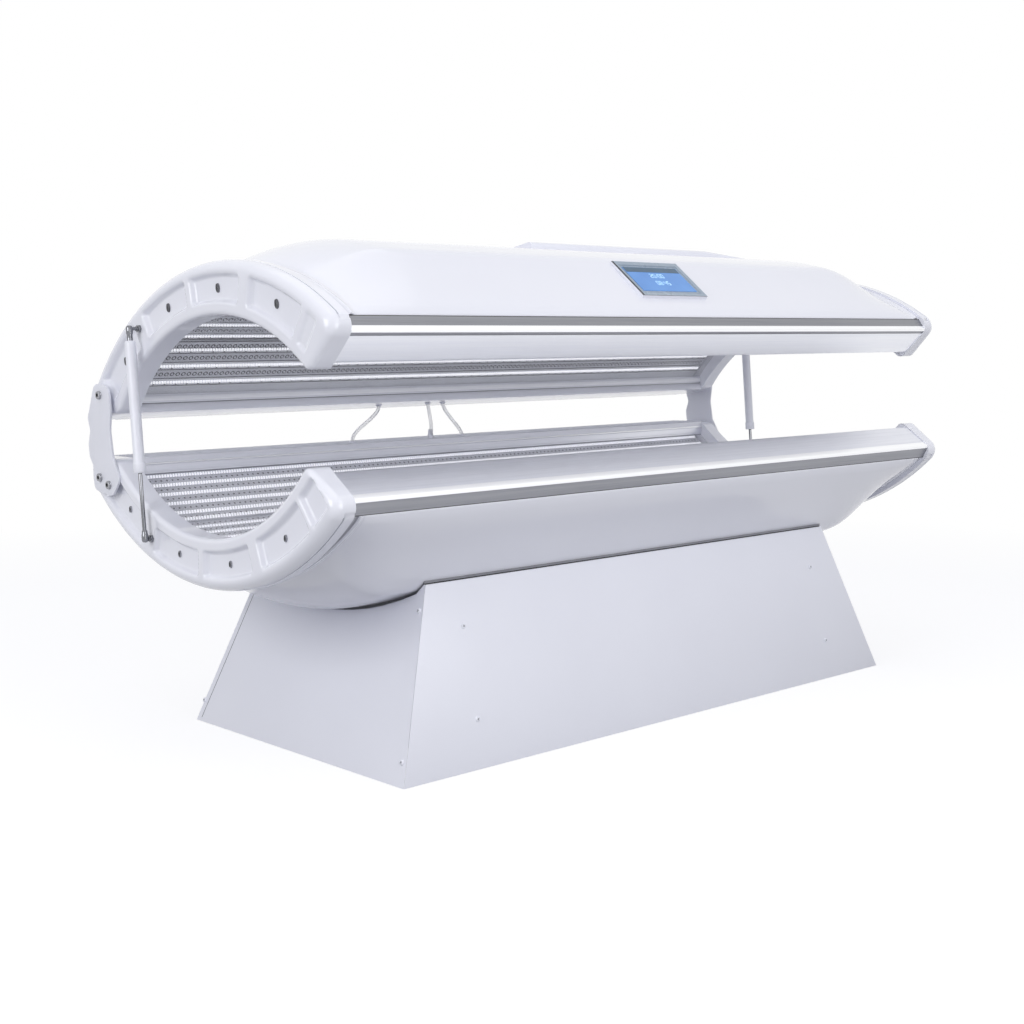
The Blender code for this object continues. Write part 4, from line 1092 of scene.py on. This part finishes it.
def makeAcrylics():
    for halfName, half in halves.items():
        limit = sheetLimit(acrylicRadius)
        reach = half["inner"] - fit
        shape = bmesh.new()
        start = polar(acrylicCentre, acrylicRadius, -limit)
        knots = [shape.verts.new((x, *start)) for x in spread(-reach, reach, 12)]
        chain = [shape.edges.new(pair) for pair in zip(knots, knots[1:])]
        bmesh.ops.spin(
            shape, geom=knots + chain, cent=(0, *acrylicCentre), axis=(1, 0, 0), angle=2 * limit, steps=72,
        )
        faceWay(shape, False)
        thing = putPiece(
            f"{halfName}Acrylic", shape, [clearAcrylic], halfName, [f"{halfName}_acrylic"],
            half["place"],
        )
        thicken(thing, "sheet", section["acrylicSheet"])


makeAcrylics()
print("acrylic sheets made")


# LED boards: rows of chips between rows of round lamp holders

led = {
    "boards": 5,
    "sheet": 0.002,
    "sheetEdge": 0.0004,
    "margin": 0.004,
    "chip": {"bed": (0.0044, 0.0084, 0.0014), "canopy": (0.0042, 0.0066, 0.0014)},
    "chipPitch": 0.0067,
    "chipSkew": 0.35,
    "chipEnd": 0.003,  # bare stretch at the end of a bar
    "ringPitch": 0.0135,
    "ringEnd": 0.009,
    "disc": {"bed": 0.0022, "canopy": 0.0054},
    "lift": 0.0002,  # of dots and discs above their bar
    "dome": [(0.0032, 0.0002), (0.00256, 0.0014), (0, 0.002)],  # radius, height above the bar
    "barHeight": 0.0012,
    "barEdge": 0.0003,
    "dot": (0.0026, 0.0026, 0.0004),
    "dotPlace": 0.34,  # share of the bar's width
    "dotPitch": 0.027,
    "dotEnd": 0.01,
    "rows": {  # first row from the back, row spacing, widths of the three kinds of bar
        "bed": {"first": 0.016, "pitch": 0.029, "chipBar": 0.0125, "ringBar": 0.0135, "backBar": 0.0},
        "canopy": {"first": 0.045, "pitch": 0.0464, "chipBar": 0.0185, "ringBar": 0.0225, "backBar": 0.029},
    },
}


def repeatAlong(shape, unit, pitch, reach):  # copies of one small shape, side by side along X
    count = int(2 * reach / pitch)
    start = -(count - 1) * pitch / 2
    scrap = bpy.data.meshes.new("unit")
    unit.to_mesh(scrap)
    unit.free()
    scrap.transform(shift(start, 0, 0))
    for i in range(count):
        shape.from_mesh(scrap)
        scrap.transform(shift(pitch, 0, 0))
    bpy.data.meshes.remove(scrap)


def openBlock(size, place, paint):  # a block without its hidden under side
    shape = block(size, place)
    under = [face for face in shape.faces if face.normal.z < -0.5]
    bmesh.ops.delete(shape, geom=under, context="FACES")
    paintFaces(shape, paint)
    return shape


def ledBar(reach, wide, paint):
    tall = led["barHeight"]
    shape = block((2 * reach, wide, tall), shift(0, 0, tall / 2), led["barEdge"])
    paintFaces(shape, paint)
    return shape


def chipRow(halfName, reach, rows):
    tall = led["barHeight"]
    shape = ledBar(reach, rows["chipBar"], 1)
    wide, deep, high = led["chip"][halfName]
    chip = openBlock((wide, deep, high), shift(0, 0, tall + high / 2), 2)
    bmesh.ops.transform(chip, matrix=Matrix.Shear("XZ", 4, (led["chipSkew"], 0)), verts=chip.verts)
    repeatAlong(shape, chip, led["chipPitch"], reach - led["chipEnd"])
    if halfName == "canopy":
        dotPlace = shift(0, rows["chipBar"] * led["dotPlace"], tall + led["lift"])
        repeatAlong(shape, openBlock(led["dot"], dotPlace, 4), led["dotPitch"], reach - led["dotEnd"])
    return shape


def ringRow(halfName, reach, rows):
    tall = led["barHeight"]
    shape = ledBar(reach, rows["ringBar"], 3)
    unit = bmesh.new()
    place = shift(0, 0, tall + led["lift"])
    bmesh.ops.create_circle(unit, cap_ends=True, segments=12, radius=led["disc"][halfName], matrix=place)
    # the disc under each canopy dome is painted near black as the shadow round the dome; on the bed it is a small
    # dark dot
    paintFaces(unit, 4)
    if halfName == "canopy":
        addTo(unit, turnedShape([(radius, tall + high) for radius, high in led["dome"]], 10), paint=3)
    repeatAlong(shape, unit, led["ringPitch"], reach - led["ringEnd"])
    return shape


def boardFrames():
    limit = sheetLimit(trayRadius)
    corners = [polar(acrylicCentre, trayRadius, turn) for turn in spread(-limit, limit, led["boards"])]
    frames = []
    for start, finish in zip(corners, corners[1:]):
        along = (finish - start).normalized()
        middle = (start + finish) / 2
        turned = Matrix((
            (1, 0, 0, 0),
            (0, along.x, -along.y, middle.x),
            (0, along.y, along.x, middle.y),
            (0, 0, 0, 1),
        ))
        frames.append((turned, (finish - start).length))
    return frames


def placesOnBoards(frames, first, pitch, half):  # row places counted from the back edge
    chosen = {number: [] for number in range(1, led["boards"] + 1)}
    length = frames[0][1]
    place = first
    while place < length * led["boards"] - half:
        fromBack = int(place // length)
        room = length / 2 - led["margin"] - half
        local = length / 2 - (place - fromBack * length)
        chosen[led["boards"] - fromBack].append(min(max(local, -room), room))
        place += pitch
    return chosen


def rowMesh(shape):
    mesh = bpy.data.meshes.new("row")
    shape.to_mesh(mesh)
    shape.free()
    return mesh


def makeBoards(halfName):
    half = halves[halfName]
    rows = led["rows"][halfName]
    reach = half["inner"] - led["margin"]
    kinds = [
        (rowMesh(chipRow(halfName, reach, rows)), rows["first"], rows["chipBar"] / 2),
        (rowMesh(ringRow(halfName, reach, rows)), rows["first"] + rows["pitch"] / 2, rows["ringBar"] / 2),
    ]
    frames = boardFrames()
    for number, (turned, length) in enumerate(frames, 1):
        size = (2 * reach, length - 2 * led["margin"], led["sheet"])
        shape = block(size, shift(0, 0, fit + led["sheet"] / 2), led["sheetEdge"])
        for mesh, first, wide in kinds:
            for local in placesOnBoards(frames, first, rows["pitch"], wide)[number]:
                row = mesh.copy()
                row.transform(shift(0, local, fit + led["sheet"]))
                shape.from_mesh(row)
                bpy.data.meshes.remove(row)
        if rows["backBar"] and number == led["boards"]:
            tall = led["barHeight"]
            local = length / 2 - led["margin"] - rows["backBar"] / 2
            place = shift(0, local, fit + led["sheet"] + tall / 2)
            addTo(shape, block((2 * reach, rows["backBar"], tall), place), paint=5)
        paints = [boardDark, barLight, chipWhite, ringGrey, shadeAndDotBlack, rearRail]
        if halfName == "bed":
            paints = [barGrey, barGrey, chipPale, ringGrey, shadeAndDotBlack]
        putPiece(
            f"{halfName}LedBoard{number}", shape, paints, halfName,
            [f"{halfName}_led_board_{number}"], half["place"] @ turned,
        )


for halfName in halves:
    makeBoards(halfName)
print("LED boards made")


# Gas struts with ball joints

strut = {
    "plane": 0.9755,
    "cylinder": 0.286,
    "bore": 0.0082,
    "boreDepth": 0.03,
    "neckEnd": -0.0238,  # chrome above this height, white below
    "head": [  # radius and height of the cylinder's upper end
        (0, -0.0172), (0.006, -0.0176), (0.0062, -0.0236), (0.0085, -0.0242), (0.0102, -0.0258),
        (0.011, -0.029),
    ],
    "collar": [  # radius and height above the cylinder's lower end
        (0.011, 0.0212), (0.0113, 0.0204), (0.0122, 0.0196), (0.0125, 0.0182), (0.0125, 0.0014),
        (0.0121, 0.0004), (0.0112, 0),
    ],
    "rod": 0.004,
    "rodFoot": 0.016,
    "rodTip": 0.118,
    "socket": 0.0068,
    "socketCup": [(0, -1), (0.55, -0.92), (0.88, -0.62), (1, -0.2)],  # shares of the socket's radius
    "socketTop": (0.0085, 0.0105),
    "ferrule": [(0.0058, 0.0115), (0.0056, 0.017), (0.005, 0.0176), (0, 0.0176)],  # radius and height
    "stud": 0.0035,
    "studTip": 0.0008,
    "studFoot": [(0.0035, 0.009), (0.0046, 0.0086), (0.0046, 0), (0, 0)],  # radius, height above the cap
    "nut": 0.0082,
    "nutHeight": 0.0052,
    "nutEdge": 0.0007,
}


def socketShape(down):  # ball socket around the origin, on the end of the strut
    radius = strut["socket"]
    way = -1 if down else 1
    straight, shoulder = strut["socketTop"]
    profile = [(radius * wide, radius * high) for wide, high in strut["socketCup"]]
    profile += [(radius, straight), (radius * 0.9, shoulder)] + strut["ferrule"]
    return turnedShape([(wide, high * way) for wide, high in profile], 24)


def makeStrut(end, side):
    top = jointAt[f"strut_cylinder_{end}_pivot"]
    low = jointAt[f"strut_rod_{end}_pivot"]
    along = top - low
    lean = Matrix.Rotation(math.atan2(-along.y, along.z), 4, "X")
    x = side * strut["plane"]
    upper = shift(x, top.y, top.z) @ lean
    lower = shift(x, low.y, low.z) @ lean
    bottom = -strut["cylinder"]
    body = strut["head"] + [(radius, bottom + high) for radius, high in strut["collar"]]
    body += [(strut["bore"], bottom), (strut["bore"], bottom + strut["boreDepth"])]
    shape = turnedShape(body, 32)
    for face in shape.faces:
        middle = face.calc_center_median()
        # the bore is painted black as the shade inside it
        inBore = math.hypot(middle.x, middle.y) < strut["bore"] + fit and middle.z < strut["head"][-1][1]
        face.material_index = 2 if inBore else (1 if middle.z > strut["neckEnd"] else 0)
    addTo(shape, socketShape(True), paint=1)
    putPiece(
        f"strutCylinder{end.title()}", shape, [plateWhite, chromeDarkReflection, shadowBlack], f"strut_cylinder_{end}",
        [f"strut_cylinder_{end}"], upper,
    )
    tip = along.length - strut["rodTip"]
    rod, rodFoot = strut["rod"], strut["rodFoot"]
    rodLine = [(0, rodFoot), (rod, rodFoot + 0.0004), (rod, tip - 0.001), (rod * 0.85, tip), (0, tip)]
    shape = turnedShape(rodLine, 24)
    addTo(shape, socketShape(False))
    putPiece(f"strutRod{end.title()}", shape, [chromeDarkReflection], f"strut_rod_{end}", [f"strut_rod_{end}"], lower)
    for name, half, point in (("upper", "canopy", top), ("lower", "bed", low)):
        turn = Matrix.Rotation(side * math.pi / 2, 4, "Y")
        reach = strut["plane"] - halves[half]["face"] - fit
        shank = [(0, strut["studTip"]), (strut["stud"], strut["studTip"])]
        shank += [(radius, -reach + high) for radius, high in strut["studFoot"]]
        shape = turnedShape(shank, 18)
        addTo(shape, hexagon(strut["nut"], -reach, -reach + strut["nutHeight"], strut["nutEdge"]))
        putPiece(
            f"{name}Stud{end.title()}", shape, [chromeDarkReflection], half, [f"{name}_ball_stud_{end}"],
            shift(x, point.y, point.z) @ turn,
        )


for end, side in ends.items():
    makeStrut(end, side)
print("struts made")


# Hinge plates and their socket bolts

bolt = {
    "head": 0.0085,
    "headEdge": 0.0012,
    "height": 0.0052,
    "socket": 0.004032,
    "socketDepth": 0.003,
    "socketEdge": 0.0002,
    "washer": 0.0088,
    "washerHeight": 0.0013,
    "edge": 0.0004,
    "shank": 0.022,
    "shankRadius": 0.0038,
    "plate": 0.005,  # thickness of the hinge plate below the head
}


def boltShape():
    head, tall, socket, edge = bolt["head"], bolt["height"], bolt["socket"], bolt["edge"]
    washer, washerTop = bolt["washer"], bolt["washerHeight"]
    thin, deep, soft = bolt["shankRadius"], bolt["shank"], bolt["headEdge"]
    profile = [
        (0, -deep), (thin, -deep), (thin, 0), (washer, 0), (washer, washerTop - edge),
        (washer - edge, washerTop), (head, washerTop), (head, tall - soft), (head - edge, tall - edge),
        (head - soft, tall), (socket, tall),
    ]
    shape = turnedShape(profile, 30)
    well = hexagon(socket, tall - bolt["socketDepth"], tall, bolt["socketEdge"])
    top = [face for face in well.faces if face.normal.z > 0.9]
    bmesh.ops.delete(well, geom=top, context="FACES")
    bmesh.ops.reverse_faces(well, faces=well.faces)
    # the hex socket is painted near black as the shade in it
    addTo(shape, well, paint=1)
    return shape


def makeHinges():
    for end, side in ends.items():
        shape = softCopy(f"hinge_plate_{end}", 0.0014, 3, 50)
        putPiece(f"hingePlate{end.title()}", shape, [plateWhite], "bed", [f"hinge_plate_{end}"])
        bodies = {f"hinge_bolt_{end}_1": "bed", f"hinge_bolt_{end}_2": "bed", f"pivot_bolt_{end}": "canopy"}
        for node, body in bodies.items():
            low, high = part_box(node)
            middle = (Vector(low) + Vector(high)) / 2
            middle.x = side * (halves["bed"]["face"] + bolt["plate"] + 2 * fit)
            place = Matrix.Translation(middle) @ Matrix.Rotation(side * math.pi / 2, 4, "Y")
            name = node.replace("_", " ").title().replace(" ", "")
            putPiece(name[0].lower() + name[1:], boltShape(), [zinc, shadeAndDotBlack], body, [node], place)


makeHinges()
print("hinges made")


# Base panels and their screws

baseScrews = {
    "front": [(-0.567, 0.271), (-0.569, 0.093), (0.571, 0.267), (0.581, 0.089)],  # x and height
    "left": [(-0.2936, 0.310), (-0.356, 0.043), (0.3214, 0.043)],  # y and height
    "radius": 0.0055,
    "height": 0.0028,
    "slotTurn": 0.5,
}
baseTrim = {
    "reach": 0.644, "front": 0.2885, "depth": 0.0022, "step": 0.0006,
    "low": 0.35, "line": 0.3606, "top": 0.3655,
}
baseSeam = {"inset": 0.016, "low": 0.008, "high": 0.325, "width": 0.0014, "proud": 0.0003}
basePanel = {
    "length": 1.548, "topLength": 1.29, "width": 0.713, "topWidth": 0.537, "height": 0.3586, "shift": -0.0235,
}


def panHead():
    radius, height = baseScrews["radius"], baseScrews["height"]
    profile = [
        (radius, 0), (radius, height * 0.35), (radius * 0.9, height * 0.7), (radius * 0.6, height * 0.94),
        (0, height),
    ]
    shape = turnedShape(profile, 18)
    # the cross slots are painted grey as the shade in them
    for quarter in (0, 1):
        cross = block((radius * 1.1, radius * 0.22, height * 0.2), shift(0, 0, height * 0.92))
        addTo(shape, cross, Matrix.Rotation(quarter * math.pi / 2 + baseScrews["slotTurn"], 4, "Z"), 1)
    return shape


def slopePlace(along, height, side, long):  # a frame on one sloping side of the base, its Z pointing out
    low, high = ("width", "topWidth") if long else ("length", "topLength")
    lean = math.atan2((basePanel[low] - basePanel[high]) / 2, basePanel["height"])
    out = basePanel[low] / 2 - height * math.tan(lean)
    if long:
        origin = Vector((along, basePanel["shift"] + side * out, height))
        outward = Vector((0, side * math.cos(lean), math.sin(lean)))
    else:
        origin = Vector((side * out, along, height))
        outward = Vector((side * math.cos(lean), 0, math.sin(lean)))
    return Matrix.Translation(origin) @ outward.to_track_quat("Z", "Y").to_matrix().to_4x4()


def seamShape(side):  # the folded edge of the rear panel seen on a side panel, a strip painted grey as the shade in its groove
    spots = []
    for height in (baseSeam["low"], baseSeam["high"]):
        spot = slopePlace(0, height, side, False).translation
        rear = slopePlace(0, height, 1, True).translation
        spots.append(Vector((spot.x, rear.y - baseSeam["inset"], height)))
    along = (spots[1] - spots[0]).normalized()
    outward = slopePlace(0, 0, side, False).to_3x3() @ Vector((0, 0, 1))
    across = outward.cross(along)
    turned = Matrix((along, across, outward)).transposed().to_4x4()
    length = (spots[1] - spots[0]).length
    middle = Matrix.Translation((spots[0] + spots[1]) / 2)
    return block((length, baseSeam["width"], 2 * baseSeam["proud"]), middle @ turned)


# A seal strip along the base's front top edge, in the gap under the shell; its grey and black bands are partly
# painted shade of the gap
def makeTrims():
    shape = bmesh.new()
    y = -baseTrim["front"] + baseTrim["depth"] / 2
    low, line, top = baseTrim["low"], baseTrim["line"], baseTrim["top"]
    for low, high, back, paint in ((low, line, baseTrim["step"], 1), (line, top, 0.0, 0)):
        size = (2 * baseTrim["reach"], baseTrim["depth"], high - low)
        addTo(shape, block(size, shift(0, y + back, (low + high) / 2)), paint=paint)
    for side in (-1, 1):
        addTo(shape, seamShape(side), paint=0)
    putPiece("baseTrims", shape, [grooveShadeGrey, shadowBlack], "bed")


def makeBase():
    for name in ("front", "rear", "left", "right"):
        shape = softCopy(f"base_{name}_panel", 0.0011, 2)
        putPiece(f"base{name.title()}Panel", shape, [powderWhite], "bed", [f"base_{name}_panel"])
    shape = bmesh.new()
    for side in (-1, 1):
        for name, long in (("front", True), ("left", False)):
            for along, height in baseScrews[name]:
                addTo(shape, panHead(), slopePlace(along, height, side, long))
    putPiece("baseScrews", shape, [plateWhite, grooveShadeGrey], "bed")
    makeTrims()


makeBase()
print("base made")


# Screen on the canopy's sloping front

screen = {
    "x": 0.0112,
    "rise": 0.0571,
    "width": 0.21,
    "height": 0.119,
    "depth": 0.011,  # at the lower edge
    "tilt": 2.9,
    "border": 0.018,
    "edge": 0.0008,
    "rings": [(0.0008, 0.0008), (0.0142, -0.0009), (0.0016, 0.0008), (0.0014, -0.0022)],  # insets of the face
    "edgeLine": (0.0036, 0.002, 0.0028),  # width, shortening and place of the dark line on the left, painted shade along the bezel's left edge
    "glass": 0.001,
    "glassEdge": 0.0002,
    "glassDrop": 0.0016,
    "print": 0.0004,  # thickness of what is printed on the glass or the bezel
    "printLift": 0.0006,
    "head": 0.2,  # share of the display that the header bar takes
    "digits": {"20:00": 0.06, "08:45": -0.24},  # and their height, as a share of the display
    "digitSize": 0.0125,
}
segments = {  # the seven strokes of each figure: top, two upper, middle, two lower, bottom
    "0": "1110111", "2": "1011101", "4": "0111010", "5": "1101011", "8": "1111111",
}


def screenPlace():
    half = halves["canopy"]
    turn = half["creaseY"]
    crease = Vector((-turn, capCentre.y - math.sqrt(half["midRadius"] ** 2 - turn ** 2)))
    up = (crease - foot).normalized()
    outward = Vector((up.y, -up.x))
    if outward.x > 0:
        outward = -outward
    middle = foot + up * (screen["rise"] + screen["height"] / 2)
    return Matrix((
        (1, 0, 0, screen["x"]),
        (0, up.x, outward.x, middle.x),
        (0, up.y, outward.y, middle.y),
        (0, 0, 0, 1),
    ))


def figureShape(text, size, thick):
    shape = bmesh.new()
    pen = 0.0
    stroke = size * 0.13
    wide = size * 0.5
    for mark in text:
        if mark == ":":
            for height in (0.3, 0.7):
                dot = block((stroke, stroke, thick), shift(pen + stroke, size * height, 0))
                addTo(shape, dot)
            pen += stroke * 3
            continue
        spots = [
            (wide / 2, size, wide, stroke),
            (0, size * 0.75, stroke, size / 2), (wide, size * 0.75, stroke, size / 2),
            (wide / 2, size / 2, wide, stroke),
            (0, size * 0.25, stroke, size / 2), (wide, size * 0.25, stroke, size / 2),
            (wide / 2, 0, wide, stroke),
        ]
        for flag, (x, y, sizeX, sizeY) in zip(segments[mark], spots):
            if flag == "1":
                addTo(shape, block((sizeX * 0.92, sizeY * 0.92, thick), shift(pen + x, y, 0)))
        pen += wide + stroke * 2.4
    bmesh.ops.translate(shape, vec=(-pen / 2 + stroke, 0, 0), verts=shape.verts)
    return shape


def makeScreen():
    place = halves["canopy"]["place"] @ screenPlace()
    wide, tall, edge = screen["width"], screen["height"], screen["edge"]
    slope = math.tan(math.radians(screen["tilt"]))
    lean = Matrix(((1, 0, 0, 0), (0, 1, 0, 0), (0, -slope, 1, 0), (0, 0, 0, 1)))  # tips towards its top
    deep = screen["depth"] - slope * tall / 2
    shape = bmesh.new()
    bmesh.ops.create_grid(shape, x_segments=1, y_segments=1, size=0.5)
    bmesh.ops.scale(shape, vec=(wide, tall, 1), verts=shape.verts)
    pushOut(shape, shape.faces[:], (0, 0, deep - edge))
    front = [face for face in shape.faces if abs(face.calc_center_median().z - deep + edge) < 1e-6]
    for inset, step in screen["rings"]:
        bmesh.ops.inset_region(shape, faces=front, thickness=inset, depth=step)
    bmesh.ops.recalc_face_normals(shape, faces=shape.faces)
    rim = edge + 0.0001
    # the sides take the shell's white and the narrow chamfer round the face is painted dark as shade along the
    # rim
    for face in shape.faces:
        middle = face.calc_center_median()
        if max(abs(middle.x) - wide / 2, abs(middle.y) - tall / 2) > -rim:
            face.material_index = 1 if middle.z < deep - rim else 2
    lineWide, lineShort, linePlace = screen["edgeLine"]
    size = (lineWide, tall - lineShort, screen["print"])
    # a black line of painted shade along the bezel's left edge
    addTo(shape, block(size, shift(-wide / 2 + linePlace, 0, deep)), paint=3)
    face = [vert for vert in shape.verts if vert.co.z > deep / 2]
    bmesh.ops.transform(shape, matrix=lean, verts=face)
    bmesh.ops.translate(shape, vec=(0, 0, fit), verts=shape.verts)
    paints = [bezelGrey, glossWhite, cupShadeDark, shadowBlack]
    putPiece("screenBezel", shape, paints, "canopy", ["screen_bezel"], place, sharp=2)
    glassTop = deep - screen["glassDrop"]
    printTop = glassTop + screen["printLift"]
    wide -= 2 * screen["border"]
    tall -= 2 * screen["border"]
    shape = block((wide, tall, screen["glass"]), shift(0, 0, glassTop), screen["glassEdge"])
    headTall = tall * screen["head"]
    size = (wide * 0.985, headTall, screen["print"])
    addTo(shape, block(size, shift(0, tall * 0.49 - headTall / 2, printTop)), paint=1)
    for text, share in screen["digits"].items():
        figures = figureShape(text, screen["digitSize"], screen["print"])
        addTo(shape, figures, shift(0, tall * share, printTop), 2)
    putPiece(
        "screenDisplay", shape, [screenBlue, screenHead, screenLight], "canopy",
        ["screen_display"], place @ lean,
    )


makeScreen()
print("screen made")


# Top cover, and the pieces that keep their CAD shape

cover = {"fallFrom": 0.5, "fallTo": 0.69, "fall": 0.8}


def makeCover():
    half = halves["canopy"]
    shape = softCopy("canopy_top_cover", 0.002, 3, 35)
    bmesh.ops.transform(shape, matrix=half["place"].inverted(), verts=shape.verts)
    for x in spread(cover["fallFrom"], cover["fallTo"], 4)[:-1]:
        everything = shape.verts[:] + shape.edges[:] + shape.faces[:]
        bmesh.ops.bisect_plane(shape, geom=everything, dist=1e-6, plane_co=(x, 0, 0), plane_no=(1, 0, 0))
    for vert in shape.verts:  # the lid falls to the shell at its right end
        skinZ = shellHeight(half, vert.co.y, 1)
        share = min(max((vert.co.x - cover["fallFrom"]) / (cover["fallTo"] - cover["fallFrom"]), 0), 1)
        vert.co.z = skinZ - (skinZ - vert.co.z) * (1 - cover["fall"] * share)
    bmesh.ops.transform(shape, matrix=half["place"], verts=shape.verts)
    putPiece("topCover", shape, [glossWhite], "canopy", ["canopy_top_cover"])


makeCover()
keptNodes = {
    "base_frame": frameBoard,
    "bed_led_tray": barSilver,
    "canopy_led_tray": barSilver,
    "control_board": circuitGreen,
    "fan_frame_1": darkPlastic,
    "fan_frame_2": darkPlastic,
    "fan_rotor_1": darkPlastic,
    "fan_rotor_2": darkPlastic,
    "power_supply": barSilver,
    "power_inlet": darkPlastic,
    "power_rocker": darkPlastic,
}
for node, paint in keptNodes.items():
    frame["nodes"][node].data.materials.clear()
    frame["nodes"][node].data.materials.append(paint)
print("cover and kept pieces painted")


# Floor, lamps and world

studio = {
    "floor": (0.31, 0.313, 0.33),
    "floorSize": 60,
    "floorDrop": 0.0005,
    "floorGlow": 0.75,
    "floorFade": (2.2, 3.6),  # distances where the floor turns into the white backdrop
    "sky": (0.95, 0.955, 1.0),
    "skyFill": 0.62,
    "lamps": [  # place, aim, size, watts
        ((0.1, -3.3, 2.5), (0.1, 0.0, 0.7), 2.6, 24),
        ((-0.7, -3.4, 0.95), (0.0, 0.1, 0.7), 1.8, 23),
        ((-3.8, -0.4, 1.75), (-0.9, 0.0, 0.6), 1.8, 39),
        ((0.0, 0.3, 3.6), (0.0, 0.0, 0.8), 3.0, 10),
    ],
}


def backgroundRay(tree):  # 1 where the camera, a reflection or a clear sheet looks at the backdrop
    path = addNode(tree, "ShaderNodeLightPath")
    first = addNode(tree, "ShaderNodeMath", operation="MAXIMUM")
    both = addNode(tree, "ShaderNodeMath", operation="MAXIMUM")
    join(tree, path, "Is Camera Ray", first, 0)
    join(tree, path, "Is Glossy Ray", first, 1)
    join(tree, first, "Value", both, 0)
    join(tree, path, "Is Transmission Ray", both, 1)
    return both.outputs["Value"]


def makeFloor():  # the camera sees a pale floor that fades to white, and the shadow on it
    shape = bmesh.new()
    bmesh.ops.create_grid(shape, x_segments=8, y_segments=8, size=studio["floorSize"])
    mesh = bpy.data.meshes.new("studioFloor")
    shape.to_mesh(mesh)
    shape.free()
    made, tree, shader = newMaterial("paleFloor")
    shader.inputs["Base Color"].default_value = (*studio["floor"], 1)
    shader.inputs["Roughness"].default_value = 0.9
    shader.inputs["Specular IOR Level"].default_value = 0.0
    glow = addNode(tree, "ShaderNodeEmission", Strength=studio["floorGlow"])
    both = addNode(tree, "ShaderNodeAddShader")
    join(tree, shader, "BSDF", both, 0)
    join(tree, glow, "Emission", both, 1)
    white = addNode(tree, "ShaderNodeEmission", Strength=1.0)
    far = addNode(tree, "ShaderNodeVectorMath", operation="LENGTH")
    tree.links.new(addNode(tree, "ShaderNodeTexCoord").outputs["Object"], far.inputs[0])
    fade = addNode(tree, "ShaderNodeMixShader")
    tree.links.new(stretch(tree, *studio["floorFade"], far.outputs["Value"]), fade.inputs["Fac"])
    join(tree, both, "Shader", fade, 1)
    join(tree, white, "Emission", fade, 2)
    pick = addNode(tree, "ShaderNodeMixShader")
    tree.links.new(backgroundRay(tree), pick.inputs["Fac"])
    join(tree, shader, "BSDF", pick, 1)
    join(tree, fade, "Shader", pick, 2)
    tree.links.new(pick.outputs["Shader"], tree.nodes["Material Output"].inputs["Surface"])
    mesh.materials.append(made)
    floor = bpy.data.objects.new("studioFloor", mesh)
    floor.location.z = -studio["floorDrop"]
    scene.collection.objects.link(floor)


def makeLights():
    for number, (place, aim, size, watts) in enumerate(studio["lamps"], 1):
        data = bpy.data.lights.new(f"softBox{number}", "AREA")
        data.energy = watts
        data.size = size
        lamp = bpy.data.objects.new(f"softBox{number}", data)
        lamp.location = place
        lamp.rotation_euler = (Vector(aim) - Vector(place)).to_track_quat("-Z", "Y").to_euler()
        scene.collection.objects.link(lamp)
    world = bpy.data.worlds.new("studioWorld")
    world.use_nodes = True
    tree = world.node_tree
    sky = tree.nodes["Background"]
    sky.inputs["Color"].default_value = (*studio["sky"], 1)
    sky.inputs["Strength"].default_value = studio["skyFill"]
    white = addNode(tree, "ShaderNodeBackground", Color=(1, 1, 1, 1))
    pick = addNode(tree, "ShaderNodeMixShader")
    tree.links.new(backgroundRay(tree), pick.inputs["Fac"])
    join(tree, sky, "Background", pick, 1)
    join(tree, white, "Background", pick, 2)
    tree.links.new(pick.outputs["Shader"], tree.nodes["World Output"].inputs["Surface"])
    scene.world = world


makeFloor()
makeLights()
print("studio lit")
